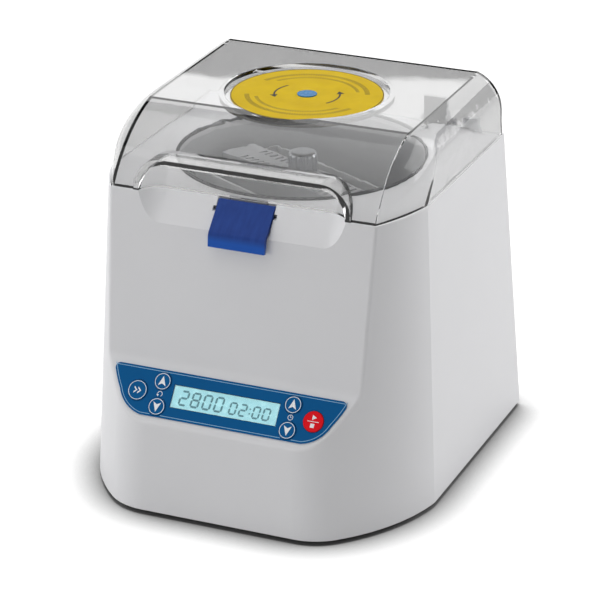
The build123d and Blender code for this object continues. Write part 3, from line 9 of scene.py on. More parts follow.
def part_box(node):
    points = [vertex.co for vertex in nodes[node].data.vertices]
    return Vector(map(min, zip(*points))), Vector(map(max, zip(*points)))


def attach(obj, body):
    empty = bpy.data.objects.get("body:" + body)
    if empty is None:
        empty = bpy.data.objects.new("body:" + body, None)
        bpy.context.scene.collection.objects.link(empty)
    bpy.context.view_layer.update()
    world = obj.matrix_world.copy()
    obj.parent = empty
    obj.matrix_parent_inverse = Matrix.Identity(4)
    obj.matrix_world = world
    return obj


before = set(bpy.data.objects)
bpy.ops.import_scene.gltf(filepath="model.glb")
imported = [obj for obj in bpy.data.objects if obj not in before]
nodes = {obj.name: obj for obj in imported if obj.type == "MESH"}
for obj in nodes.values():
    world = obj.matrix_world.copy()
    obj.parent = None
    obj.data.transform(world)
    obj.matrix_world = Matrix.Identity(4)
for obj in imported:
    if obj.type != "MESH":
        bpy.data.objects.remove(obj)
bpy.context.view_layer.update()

# Bench centrifuge for microplates.  Metres, +Z up, the front faces -Y.  Sizes of prints are in millimetres.
MM = 0.001

# ---------------------------------------------------------------- camera
PHOTO_SIZE = 600                 # pixels
FOCAL_PIXELS = 2933.64
SENSOR = 36.0                    # mm
CAMERA_AZIMUTH = radians(23.03)
CAMERA_ELEVATION = radians(23.39)
CAMERA_ROLL = radians(-0.15)
CAMERA_DISTANCE = 1798.84 * MM
AIM = Vector((0.0, 0.0, 123.0)) * MM
AIM_RIGHT, AIM_UP = 4.20 * MM, -19.55 * MM
CLIP_NEAR, CLIP_FAR = 0.05, 50.0


def make_camera():
    az, el = CAMERA_AZIMUTH, CAMERA_ELEVATION
    back = Vector((sin(az) * cos(el), -cos(az) * cos(el), sin(el)))
    level = Vector((cos(az), sin(az), 0.0))
    upright = back.cross(level)
    right = level * cos(CAMERA_ROLL) + upright * sin(CAMERA_ROLL)
    up = upright * cos(CAMERA_ROLL) - level * sin(CAMERA_ROLL)
    data = bpy.data.cameras.new("camera")
    data.sensor_width = SENSOR
    data.lens = SENSOR * FOCAL_PIXELS / PHOTO_SIZE
    data.clip_start, data.clip_end = CLIP_NEAR, CLIP_FAR
    camera = bpy.data.objects.new("camera", data)
    turn = Matrix((right, up, back)).transposed().to_4x4()
    place = AIM + back * CAMERA_DISTANCE + right * AIM_RIGHT + up * AIM_UP
    camera.matrix_world = Matrix.Translation(place) @ turn
    bpy.context.scene.collection.objects.link(camera)
    bpy.context.scene.camera = camera


make_camera()


# ---------------------------------------------------------------- material helpers
def rgb(red, green, blue):
    """Linear colour of an 8-bit screen colour."""
    def linear(value):
        value /= 255.0
        return value / 12.92 if value <= 0.04045 else ((value + 0.055) / 1.055) ** 2.4
    return (linear(red), linear(green), linear(blue), 1.0)


def shade(colour, factor):
    """Lighter or darker tone of a colour."""
    return (*(min(1.0, c * factor) for c in colour[:3]), 1.0)


UPRIGHT = (0.0, 0.0, 1.0)
SIDEWAYS = (1.0, 0.0, 0.0)


class Finish:
    """A node material around one Principled shader, with short names for the nodes it needs."""

    def __init__(self, name, **settings):
        self.material = bpy.data.materials.new(f"{name}_finish")
        self.material.use_nodes = True
        self.tree = self.material.node_tree
        self.shader = self.tree.nodes["Principled BSDF"]
        self.out = self.tree.nodes["Material Output"]
        for socket, value in settings.items():
            self.set(socket, value)

    def set(self, socket, value):
        self.shader.inputs[socket.replace("_", " ").title().replace("Ior", "IOR")].default_value = value

    def node(self, kind, **settings):
        made = self.tree.nodes.new(kind)
        for name, value in settings.items():
            setattr(made, name, value)
        return made

    def link(self, source, target):
        self.tree.links.new(source, target)

    def place(self):
        """Position on the piece, in metres in the shared frame."""
        return self.node("ShaderNodeTexCoord").outputs["Object"]

    def scaled(self, vector, factors):
        mapping = self.node("ShaderNodeMapping")
        mapping.inputs["Scale"].default_value = factors
        self.link(vector, mapping.inputs["Vector"])
        return mapping.outputs["Vector"]

    def noise(self, scale, detail=2.0, vector=None):
        noise = self.node("ShaderNodeTexNoise")
        noise.inputs["Scale"].default_value = scale
        noise.inputs["Detail"].default_value = detail
        self.link(vector or self.place(), noise.inputs["Vector"])
        return noise.outputs["Fac"]

    def spread(self, source, low, high, start=0.3, end=0.7):
        """Map a value from start..end to low..high."""
        mapped = self.node("ShaderNodeMapRange")
        for name, value in (("From Min", start), ("From Max", end), ("To Min", low), ("To Max", high)):
            mapped.inputs[name].default_value = value
        self.link(source, mapped.inputs["Value"])
        return mapped.outputs["Result"]

    def fading(self, source, full, none):
        """One up to a first value, and nothing from a second."""
        return self.spread(source, 1.0, 0.0, full, none)

    def blend(self, factor, first, second):
        """Colour between two colours or colour sockets."""
        mix = self.node("ShaderNodeMix", data_type="RGBA")
        self.link(factor, mix.inputs["Factor"])
        for value, socket in ((first, mix.inputs[6]), (second, mix.inputs[7])):
            if isinstance(value, tuple):
                socket.default_value = value
            else:
                self.link(value, socket)
        return mix.outputs[2]

    def two_tone(self, pattern, first, second):
        """Colour that drifts between two tones with a pattern."""
        return self.blend(self.spread(pattern, 0.0, 1.0), first, second)

    def maths(self, operation, *values):
        maths = self.node("ShaderNodeMath", operation=operation)
        for value, socket in zip(values, maths.inputs):
            if isinstance(value, (int, float)):
                socket.default_value = value
            else:
                self.link(value, socket)
        return maths.outputs[0]

    def axis(self, direction, origin=(0.0, 0.0, 0.0)):
        """Distance along a direction from an origin."""
        moved = self.node("ShaderNodeVectorMath", operation="SUBTRACT")
        self.link(self.place(), moved.inputs[0])
        moved.inputs[1].default_value = origin
        dot = self.node("ShaderNodeVectorMath", operation="DOT_PRODUCT")
        self.link(moved.outputs[0], dot.inputs[0])
        dot.inputs[1].default_value = direction
        return dot.outputs["Value"]

    def colour(self, source):
        self.link(source, self.shader.inputs["Base Color"])

    def rough(self, source):
        self.link(source, self.shader.inputs["Roughness"])

    def relief(self, height, depth):
        """Bump of a depth in millimetres."""
        bump = self.node("ShaderNodeBump")
        bump.inputs["Strength"].default_value = 1.0
        bump.inputs["Distance"].default_value = depth * MM
        self.link(height, bump.inputs["Height"])
        self.link(bump.outputs["Normal"], self.shader.inputs["Normal"])

    def surface(self, factor, first, second):
        """Show one shader or another, by a factor."""
        mix = self.node("ShaderNodeMixShader")
        for source, socket in zip((factor, first, second), mix.inputs):
            self.link(source, socket)
        self.link(mix.outputs[0], self.out.inputs["Surface"])

    def let_light_through(self, tint):
        """Light for what lies behind goes straight through, and takes a tint."""
        clear = self.node("ShaderNodeBsdfTransparent")
        clear.inputs["Color"].default_value = tint
        is_light = self.node("ShaderNodeLightPath").outputs["Is Shadow Ray"]
        self.surface(is_light, self.shader.outputs[0], clear.outputs[0])


def moulded(name, colour, roughness, grain=0.012, tone=0.03, grain_scale=1500.0, **settings):
    """Moulded plastic: fine spark-eroded grain, faint flow tone and slightly uneven gloss."""
    finish = Finish(name, **settings)
    flow = finish.noise(14.0, 3.0)
    fine = finish.noise(grain_scale, 3.0)
    finish.colour(finish.two_tone(flow, shade(colour, 1.0 - tone), shade(colour, 1.0 + tone)))
    finish.rough(finish.spread(fine, roughness - 0.05, roughness + 0.05))
    finish.relief(fine, grain)
    return finish


BRUSHING_DEPTH = 0.004


def metal(name, colour, roughness, brushed=(1.0, 1.0, 1.0)):
    """Metal with fine turning or brushing marks and cloudy gloss."""
    finish = Finish(name, metallic=1.0)
    marks = finish.noise(1800.0, 4.0, finish.scaled(finish.place(), brushed))
    cloud = finish.noise(60.0, 2.0)
    finish.colour(finish.two_tone(cloud, shade(colour, 0.9), shade(colour, 1.06)))
    finish.rough(finish.spread(marks, roughness - 0.08, roughness + 0.08))
    finish.relief(marks, BRUSHING_DEPTH)
    return finish


def rubber(name, colour):
    """Dull black rubber with a coarse grain."""
    finish = moulded(name, colour, 0.75, grain=0.03, tone=0.12, grain_scale=900.0)
    finish.set("specular_ior_level", 0.3)
    return finish


def ink(name, colour, roughness=0.4):
    """Screen-printed ink: a little uneven in tone and gloss."""
    finish = Finish(name, specular_ior_level=0.1)
    mottle = finish.noise(900.0, 2.0)
    finish.colour(finish.two_tone(mottle, shade(colour, 0.94), shade(colour, 1.04)))
    finish.rough(finish.spread(mottle, roughness - 0.04, roughness + 0.06))
    return finish


# ---------------------------------------------------------------- where things are
def middle(name):
    low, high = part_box(name)
    return (Vector(low) + Vector(high)) / 2


PANEL_SLOPE = radians(52.84)
ACROSS = Vector(SIDEWAYS)
UP_PANEL = Vector((0.0, cos(PANEL_SLOPE), sin(PANEL_SLOPE)))
OUT_PANEL = ACROSS.cross(UP_PANEL)
LENS_UP, LENS_OUT = 0.2, 0.15              # of the display lens's middle, from the facet's middle
PANEL_ORIGIN = middle("display_lens") - UP_PANEL * LENS_UP * MM - OUT_PANEL * LENS_OUT * MM
OVERLAY_FACE = 0.6                         # the overlay's face above the facet
KEY_FACE = 1.2                             # the keys' faces above the facet
SCREEN_FACE = -0.2                         # the display's face below the facet
SCREEN_BACK, SCREEN_FRONT = -0.5, -0.3     # between these depths its carrier turns into its face
LABEL_LOW, LABEL_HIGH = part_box("lid_label_disc")
LABEL_MIDDLE = middle("lid_label_disc")
LABEL_RADIUS = (LABEL_HIGH.x - LABEL_LOW.x) / 2 / MM
SPINE_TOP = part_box("rotor_spine")[1].z
SPINE_HEADING = radians(-28.0)
SPINE_ACROSS = (-sin(SPINE_HEADING), cos(SPINE_HEADING), 0.0)
SLOT_REACH = 11.4                          # from the spine's middle line to the outer ends of its slots
PAINTED_SHADE_FULL_DEPTH, PAINTED_SHADE_START_DEPTH = 2.4, 0.6           # depths below the spine's top: the painted shade in the slots is full from the first depth and gone by the second
LATCH_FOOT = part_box("latch_lever")[0].z
FOOT_LIGHT, FOOT_DARK = 3.9, 7.9           # heights above the latch's foot


class Sheet:
    """A plane on the object that prints are laid on: an origin and two directions, in millimetres."""

    def __init__(self, origin, right, up):
        self.origin, self.right, self.up = origin, right, up
        self.out = right.cross(up)

    def at(self, x, y, height):
        return self.origin + (self.right * x + self.up * y + self.out * height) * MM

    def spot(self, name):
        """Where a node's middle lies on this plane."""
        offset = (middle(name) - self.origin) / MM
        return offset.dot(self.right), offset.dot(self.up)


PANEL = Sheet(PANEL_ORIGIN, ACROSS, UP_PANEL)
LABEL = Sheet(Vector((LABEL_MIDDLE.x, LABEL_MIDDLE.y, LABEL_HIGH.z)), ACROSS, Vector((0.0, 1.0, 0.0)))


# ---------------------------------------------------------------- shapes of prints
# A shape is a list of flat faces, and a face is a list of points.
def arc_points(radius, count, start, sweep, at=(0.0, 0.0)):
    """Points along an arc, both ends included."""
    return [(at[0] + radius * cos(start + sweep * i / count), at[1] + radius * sin(start + sweep * i / count))
            for i in range(count + 1)]


def band(inner, outer):
    """Strip of four-sided faces between two lists of points."""
    return [[*start, *reversed(end)] for start, end in pairwise(zip(inner, outer))]


def ring_shape(radius, width, count=64):
    inner, outer = (arc_points(size, count, 0.0, tau)[:-1] for size in (radius - width, radius))
    return band(inner + inner[:1], outer + outer[:1])


def arc_shape(radius, width, start, sweep, count=24):
    return band(arc_points(radius - width / 2, count, start, sweep),
                arc_points(radius + width / 2, count, start, sweep))


def rectangle(left, right, low, high):
    return [[(left, low), (right, low), (right, high), (left, high)]]


def moved(shape, x, y, turn=0.0):
    """The shape turned about the origin, then shifted."""
    c, s = cos(turn), sin(turn)
    return [[(x + px * c - py * s, y + px * s + py * c) for px, py in face] for face in shape]


ARC_STEPS = 12


def three_point_arc(first, second, third):
    """Points on the arc through three points, both ends included."""
    (ax, ay), (bx, by), (cx, cy) = first, second, third
    d = 2 * (ax * (by - cy) + bx * (cy - ay) + cx * (ay - by))
    a2, b2, c2 = ax * ax + ay * ay, bx * bx + by * by, cx * cx + cy * cy
    ux = (a2 * (by - cy) + b2 * (cy - ay) + c2 * (ay - by)) / d
    uy = (a2 * (cx - bx) + b2 * (ax - cx) + c2 * (bx - ax)) / d
    start, end = atan2(ay - uy, ax - ux), atan2(cy - uy, cx - ux)
    sweep = (end - start + pi) % tau - pi
    return arc_points(hypot(ax - ux, ay - uy), ARC_STEPS, start, sweep, (ux, uy))


SHARPEST = 0.3                   # keeps a sharp corner from running far out


def inset_loop(points, distance):
    """The closed outline moved inwards; its points run anticlockwise."""
    inset = []
    for before, here, after in zip(points[-1:] + points[:-1], points, points[1:] + points[:1]):
        d1 = Vector((here[0] - before[0], here[1] - before[1])).normalized()
        d2 = Vector((after[0] - here[0], after[1] - here[1])).normalized()
        n1, n2 = Vector((-d1.y, d1.x)), Vector((-d2.y, d2.x))
        bisector = (n1 + n2).normalized()
        reach = distance / max(SHARPEST, bisector.dot(n1))
        inset.append((here[0] + bisector.x * reach, here[1] + bisector.y * reach))
    return inset


PRINT_THICKNESS = 0.06
SAME_POINT = 5                   # decimals to which two corners agree when they are one


def raise_shape(bm, sheet, shape, low):
    """Add a shape to the mesh as one closed prism: faces that touch share their edge."""
    high = low + PRINT_THICKNESS
    corners = {}

    def corner(point, height):
        key = (*(round(value, SAME_POINT) for value in point), height)
        if key not in corners:
            corners[key] = bm.verts.new(sheet.at(*point, height))
        return corners[key]

    edges = {}
    for face in shape:
        bm.faces.new([corner(point, high) for point in face])
        bm.faces.new([corner(point, low) for point in reversed(face)])
        edges.update(dict.fromkeys(zip(face, face[1:] + face[:1])))
    for start, end in edges:
        if (end, start) not in edges:
            bm.faces.new([corner(start, low), corner(end, low), corner(end, high), corner(start, high)])


def print_piece(name, sheet, shapes, low, finish, body):
    """Thin raised print on a sheet, from a height above it."""
    bm = bmesh.new()
    for shape in shapes:
        raise_shape(bm, sheet, shape, low)
    bmesh.ops.recalc_face_normals(bm, faces=bm.faces[:])
    mesh = bpy.data.meshes.new(name)
    bm.to_mesh(mesh)
    bm.free()
    mesh.materials.append(finish.material)
    piece = bpy.data.objects.new(name, mesh)
    bpy.context.scene.collection.objects.link(piece)
    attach(piece, body)


# ---------------------------------------------------------------- finishes
OFF_WHITE = rgb(222, 222, 224)
finishes = {
    "housing": moulded("housing", OFF_WHITE, 0.42, grain=0.006, tone=0.012, grain_scale=2200.0),
    "bowl_plastic": moulded("bowl_plastic", rgb(196, 197, 199), 0.4),
    "rotor_plastic": moulded("rotor_plastic", rgb(200, 201, 202), 0.38),
    "hinge_grey": moulded("hinge_grey", rgb(214, 214, 216), 0.45),
    "overlay_blue": moulded("overlay_blue", rgb(4, 86, 142), 0.34, 0.01, 0.04, specular_ior_level=0.12),
    "key_blue": moulded("key_blue", rgb(6, 88, 144), 0.36, 0.01, 0.04, specular_ior_level=0.12),
    "key_red": moulded("key_red", rgb(228, 22, 34), 0.36, 0.01, 0.04, specular_ior_level=0.12),
    "switch_black": moulded("switch_black", rgb(34, 34, 36), 0.4),
    "inlet_black": moulded("inlet_black", rgb(26, 26, 28), 0.42),
    "rocker_black": moulded("rocker_black", rgb(22, 22, 24), 0.3),
    "pin_dark": metal("pin_dark", rgb(70, 72, 78), 0.4),
    "base_steel": metal("base_steel", rgb(150, 152, 156), 0.45, (1.0, 0.05, 1.0)),
    "steel_screws": metal("steel_screws", rgb(176, 178, 182), 0.3),
    "spring_steel": metal("spring_steel", rgb(160, 162, 168), 0.28),
    "rotor_aluminium": metal("rotor_aluminium", rgb(190, 192, 196), 0.32),
    "shaft_steel": metal("shaft_steel", rgb(168, 170, 175), 0.22, (1.0, 1.0, 6.0)),
    "motor_zinc": metal("motor_zinc", rgb(158, 161, 166), 0.42),
    "foot_rubber": rubber("foot_rubber", rgb(38, 38, 40)),
    "seal_rubber": rubber("seal_rubber", rgb(52, 53, 56)),
    "motor_dark": moulded("motor_dark", rgb(44, 45, 48), 0.5),
    "board_green": moulded("board_green", rgb(26, 92, 58), 0.35),
    "motor_copper": metal("motor_copper", rgb(186, 110, 66), 0.35, (1.0, 1.0, 8.0)),
}


def smoked_glass():
    """Clear smoky acrylic with faint wear."""
    finish = Finish("lid_smoke", base_color=rgb(209, 209, 209), ior=1.49, transmission_weight=1.0)
    wear = finish.noise(700.0, 4.0)
    finish.rough(finish.spread(wear, 0.015, 0.035))
    finish.relief(finish.noise(18.0, 2.0), 0.05)
    finish.let_light_through(rgb(231, 231, 231))
    return finish


def slotted_spine():
    """Moulded like the rest of the rotor, with painted shade darkening it down in its slots."""
    finish = moulded("rotor_spine", rgb(176, 177, 179), 0.38)
    plain = finish.shader.inputs["Base Color"].links[0].from_socket
    painted_shade_depth = finish.fading(finish.axis(UPRIGHT), SPINE_TOP - PAINTED_SHADE_FULL_DEPTH * MM, SPINE_TOP - PAINTED_SHADE_START_DEPTH * MM)
    across = finish.maths("ABSOLUTE", finish.axis(SPINE_ACROSS, tuple(middle("rotor_spine"))))
    within = finish.fading(across, (SLOT_REACH - 0.2) * MM, (SLOT_REACH + 0.2) * MM)
    # painted shade: dark grey blended in down inside the slots, standing in for the shade that falls there
    finish.colour(finish.blend(finish.maths("MULTIPLY", painted_shade_depth, within), plain, rgb(58, 59, 62)))
    return finish


def latch_blue():
    """Glossy blue moulding, lighter along its foot, with faint upright moulding marks."""
    finish = Finish("latch_blue", specular_ior_level=0.2)
    flow = finish.noise(120.0, 3.0, finish.scaled(finish.place(), (3.0, 1.0, 0.4)))
    upper = finish.two_tone(flow, rgb(28, 57, 126), rgb(34, 65, 138))
    foot = finish.fading(finish.axis(UPRIGHT), LATCH_FOOT + FOOT_LIGHT * MM, LATCH_FOOT + FOOT_DARK * MM)
    finish.colour(finish.blend(foot, upper, rgb(24, 84, 176)))
    fine = finish.noise(1500.0, 3.0)
    finish.rough(finish.spread(fine, 0.34, 0.46))
    finish.relief(finish.maths("ADD", flow, finish.maths("MULTIPLY", fine, 0.2)), 0.05)
    return finish


def display_face():
    """Reflective display glass: pale teal on its face, black carrier behind."""
    finish = Finish("display_dark")
    mottle = finish.noise(260.0, 2.0)
    teal = finish.two_tone(mottle, rgb(146, 203, 212), rgb(158, 212, 219))
    depth = finish.axis(tuple(OUT_PANEL), tuple(PANEL_ORIGIN))
    face = finish.spread(depth, 0.0, 1.0, SCREEN_BACK * MM, SCREEN_FRONT * MM)
    finish.colour(finish.blend(face, rgb(24, 25, 27), teal))
    finish.rough(finish.spread(mottle, 0.2, 0.3))
    return finish


def display_lens():
    """Clear window over the display, finely wiped."""
    finish = Finish("display_glass", base_color=(0.97, 0.98, 0.98, 1.0), ior=1.45, transmission_weight=1.0)
    finish.rough(finish.spread(finish.noise(500.0, 3.0), 0.02, 0.05))
    finish.let_light_through((1.0, 1.0, 1.0, 1.0))
    return finish


def label_yellow():
    """Printed vinyl label: even yellow with a fine orange-peel gloss."""
    finish = Finish("label_yellow", specular_ior_level=0.03)
    mottle = finish.noise(70.0, 3.0)
    finish.colour(finish.two_tone(mottle, rgb(206, 172, 6), rgb(216, 184, 12)))
    peel = finish.noise(420.0, 2.0)
    finish.rough(finish.spread(peel, 0.36, 0.46))
    finish.relief(peel, 0.01)
    return finish


def dot_blue():
    """Blue dot in the middle of the label, a little mottled."""
    finish = Finish("dot_blue", specular_ior_level=0.15)
    mottle = finish.noise(300.0, 2.0)
    finish.colour(finish.two_tone(mottle, rgb(8, 108, 168), rgb(18, 124, 182)))
    finish.rough(finish.spread(mottle, 0.22, 0.3))
    return finish


finishes.update(lid_smoke=smoked_glass(), slotted_spine=slotted_spine(), latch_blue=latch_blue(),
                display_dark=display_face(), display_glass=display_lens(), label_yellow=label_yellow(),
                dot_blue=dot_blue())
NODE_FINISHES = {"lid_sensor": "bowl_plastic", "lid_magnet": "bowl_plastic", "rotor_spine": "slotted_spine"}


def dress_nodes():
    """Give every node of the frame its own finish, or that of its material slot."""
    for name, node in nodes.items():
        for slot in node.material_slots:
            slot.material = finishes[NODE_FINISHES.get(name, slot.material.name)].material


dress_nodes()

# ---------------------------------------------------------------- keypad prints
WHITE_INK = ink("white_ink", rgb(246, 247, 249))
PALE_LINE = ink("pale_line", rgb(150, 192, 222))
SEGMENT_INK = ink("segment_ink", rgb(62, 116, 126), 0.3)
BLACK_INK = ink("black_ink", rgb(40, 38, 26))
OVERLAY_BOTTOM, OVERLAY_TOP = (52.0, -14.2), (76.0, 14.9)
OVERLAY_SIDE = ((61.5, -9.9), (68.5, -0.6), (72.6, 6.7))
LINE_INSET, LINE_WIDTH = 1.1, 0.35
LINE_BREAK = 3.4                 # to each side of a lower key's middle, where the line would run over the key


def overlay_outline():
    """The keypad overlay's edge: each side is two arcs."""
    side = three_point_arc(OVERLAY_BOTTOM, OVERLAY_SIDE[0], OVERLAY_SIDE[1])
    side += three_point_arc(OVERLAY_SIDE[1], OVERLAY_SIDE[2], OVERLAY_TOP)[1:]
    return side + [(-x, y) for x, y in reversed(side)]


def print_panel_line():
    """Pale line along the overlay's edge, broken at the two lower keys."""
    outer = inset_loop(overlay_outline(), LINE_INSET)
    inner = inset_loop(outer, LINE_WIDTH)
    keys = [PANEL.spot(key)[0] for key in ("speed_down_key", "timer_down_key")]
    stops = [key + side for key in keys for side in (-LINE_BREAK, LINE_BREAK)]
    stop_ends = [((x, inner[0][1]), (x, outer[0][1])) for x in stops]
    ends = [(inner[-1], outer[-1]), *stop_ends, (inner[0], outer[0])]
    foot = [[*start, *reversed(end)] for start, end in zip(ends[::2], ends[1::2])]
    print_piece("panel_line", PANEL, [band(inner, outer) + foot], OVERLAY_FACE, PALE_LINE,
                "root")


print_panel_line()

ARROW = [[(0.0, 3.3), (-2.5, -2.7), (0.0, -1.3)], [(0.0, 3.3), (0.0, -1.3), (2.5, -2.7)]]
CHEVRON = [[(-0.9, 2.2), (-0.9, 1.1), (0.3, 0.0), (1.3, 0.0)],
           [(-0.9, -1.1), (-0.9, -2.2), (1.3, 0.0), (0.3, 0.0)]]
PLAY = [[(-0.9, 4.0), (-0.9, 1.0), (1.9, 2.5)]]
STOP = rectangle(-1.25, 1.25, -3.7, -1.2)
BAR = rectangle(-3.6, 3.6, -0.15, 0.2)
ARROW_KEY_RING = ring_shape(4.9, 0.35)
SHORT_SPIN_RING = ring_shape(5.8, 0.35)


def print_key(key, shapes):
    """A key's mark, riding on its button."""
    x, y = PANEL.spot(f"{key}_key")
    print_piece(f"{key}_mark", PANEL, [moved(shape, x, y) for shape in shapes], KEY_FACE, WHITE_INK,
                f"{key}_button")


def print_keys():
    for side in ("speed", "timer"):
        for way, turn in (("up", 0.0), ("down", pi)):
            print_key(f"{side}_{way}", [moved(ARROW, 0.0, 0.0, turn), ARROW_KEY_RING])
    print_key("short_spin", [moved(CHEVRON, -1.3, 0.0), moved(CHEVRON, 1.2, 0.0), SHORT_SPIN_RING])
    print_key("start_stop", [PLAY, STOP, BAR])


print_keys()


TURN_RADIUS, TURN_START, TURN_END = 1.5, radians(-60), radians(210)
TURN_HEAD = [[(-0.9, 0.3), (0.2, -0.9), (0.75, 0.45)]]
CLOCK = [ring_shape(1.7, 0.32), rectangle(-0.14, 0.14, 0.0, 1.15), rectangle(0.14, 0.95, -0.14, 0.14)]


def print_panel_symbols():
    """Plain symbols between the arrow keys: a turning arrow for speed and a clock for time."""
    turning = [arc_shape(TURN_RADIUS, 0.35, TURN_START, TURN_END - TURN_START),
               moved(TURN_HEAD, TURN_RADIUS * cos(TURN_END), TURN_RADIUS * sin(TURN_END))]
    shapes = [moved(shape, PANEL.spot(key)[0], 0.0)
              for symbol, key in ((turning, "speed_up_key"), (CLOCK, "timer_up_key")) for shape in symbol]
    print_piece("panel_symbols", PANEL, shapes, OVERLAY_FACE, WHITE_INK, "root")


print_panel_symbols()

# ---------------------------------------------------------------- display digits
SEGMENTS = {"0": "abcdef", "2": "abged", "8": "abcdefg"}
DIGIT_LEAN = 0.1
BAR_GAP = 0.12                   # left open at each end of a bar, in thicknesses of the bar
SPEED_DIGITS = (("2", -26.6), ("8", -19.0), ("0", -11.4), ("0", -3.8))      # and where their middles lie
TIME_DIGITS = (("0", 5.4), ("2", 11.8), ("0", 20.4), ("0", 26.8))
SPEED_DIGIT = (-0.2, 4.6, 8.4, 1.25)        # middle's height, width, height and thickness of the bars
TIME_DIGIT = (-1.0, 3.9, 6.8, 1.1)
COLON_X, COLON_HEIGHTS = 15.7, (-2.3, 0.5)
COLON_DOT = [[(0.0, -0.45), (0.9, -0.45), (1.0, 0.45), (0.1, 0.45)]]


def bar_shape(half, t):
    """A lit segment: a six-sided bar, pointed at both ends."""
    return [[(-half, 0.0), (t - half, -t), (half - t, -t), (half, 0.0), (half - t, t), (t - half, t)]]


def digit_shapes(digit, x, y, width, height, thick):
    """Seven-segment digit, leaning a little."""
    right, top, gap = width / 2, height / 2, thick * BAR_GAP
    level = bar_shape(right - gap, thick / 2)
    standing = moved(bar_shape(top / 2 - gap, thick / 2), 0.0, 0.0, pi / 2)
    places = {"a": (level, 0.0, top), "g": (level, 0.0, 0.0), "d": (level, 0.0, -top),
              "f": (standing, -right, top / 2), "b": (standing, right, top / 2),
              "e": (standing, -right, -top / 2), "c": (standing, right, -top / 2)}
    bars = [moved(*places[segment]) for segment in SEGMENTS[digit]]
    return [[[(x + px + py * DIGIT_LEAN, y + py) for px, py in face] for face in bar] for bar in bars]


def print_digits():
    """A plain speed and a plain time."""
    shapes = []
    for digits, place_and_size in ((SPEED_DIGITS, SPEED_DIGIT), (TIME_DIGITS, TIME_DIGIT)):
        for digit, x in digits:
            shapes += digit_shapes(digit, x, *place_and_size)
    shapes += [moved(COLON_DOT, COLON_X, height) for height in COLON_HEIGHTS]
    print_piece("display_digits", PANEL, [moved(shape, 0.0, LENS_UP) for shape in shapes], SCREEN_FACE,
                SEGMENT_INK, "root")


print_digits()

# ---------------------------------------------------------------- label prints
RIM_INSET, RIM_WIDTH = 0.2, 0.45
TICK_WIDTH = 0.4
TICK_ROWS = ((36.5, 3.0, 22, 57, 2.4), (31.0, 2.2, 30, 43, 2.8))    # radius, length, first angle, count, step
TURN_ARROW_RADIUS, TURN_ARROW_WIDTH = 20.0, 1.1
TURN_ARROW_START, TURN_ARROW_SWEEP = radians(-32), radians(56)
TURN_ARROW_TIP, TURN_ARROW_SETBACK = radians(33), 0.06
TURN_ARROW_HEAD = [[(-2.4, -2.2), (2.4, -2.2), (0.0, 2.4)]]


def around(shape, radius, angle, turn):
    """The shape turned, and set at a radius and an angle about the label's middle."""
    return moved(shape, radius * cos(angle), radius * sin(angle), turn)


def print_label():
    """Graduated rings and two turning arrows, as on the lid of any spinning machine."""
    shapes = [ring_shape(LABEL_RADIUS - RIM_INSET, RIM_WIDTH, count=96)]
    for half_turn in (0.0, pi):
        for radius, length, first, count, step in TICK_ROWS:
            tick = rectangle(-TICK_WIDTH / 2, TICK_WIDTH / 2, -length / 2, length / 2)
            for i in range(count):
                angle = radians(first + i * step) + half_turn
                shapes.append(around(tick, radius, angle, angle - pi / 2))
        shapes.append(arc_shape(TURN_ARROW_RADIUS, TURN_ARROW_WIDTH, half_turn + TURN_ARROW_START,
                                TURN_ARROW_SWEEP))
        tip = half_turn + TURN_ARROW_TIP
        shapes.append(around(TURN_ARROW_HEAD, TURN_ARROW_RADIUS, tip - TURN_ARROW_SETBACK, tip))
    print_piece("label_marks", LABEL, shapes, 0.0, BLACK_INK, "lid")


print_label()

# ---------------------------------------------------------------- floor, cards, lamps and world
FLOOR_HALF = 6.0
FLOOR_LEVEL = -0.0002
PAINTED_SHADOW_REACH = 0.03              # how far the painted contact shadow spreads
CROWDED, OPEN = 0.45, 0.97       # share of open sky over the floor where the painted shadow is black and where the floor is white
FLOOR_GLOW, FLOOR_LIT = 1.0, 0.2    # what the camera sees of the floor: its own white and the studio's light
FLOOR_COLOUR = (0.8, 0.8, 0.8, 1.0)
WHITE = (1.0, 1.0, 1.0, 1.0)
BLACK = (0.0, 0.0, 0.0, 1.0)
SEEN_RAYS = ("Is Camera Ray", "Is Glossy Ray", "Is Transmission Ray")
ROOM_LIGHT = 0.24


def staged_sheet(name, corners, finish):
    """One flat sheet of the studio."""
    bm = bmesh.new()
    bm.faces.new([bm.verts.new(corner) for corner in corners])
    mesh = bpy.data.meshes.new(name)
    bm.to_mesh(mesh)
    bm.free()
    mesh.materials.append(finish.material)
    sheet = bpy.data.objects.new(name, mesh)
    bpy.context.scene.collection.objects.link(sheet)
    return sheet


def corners_of(first, second):
    """The four corners between two opposite ones, in pairs of coordinates."""
    (left, low), (right, high) = first, second
    return (left, low), (right, low), (right, high), (left, high)


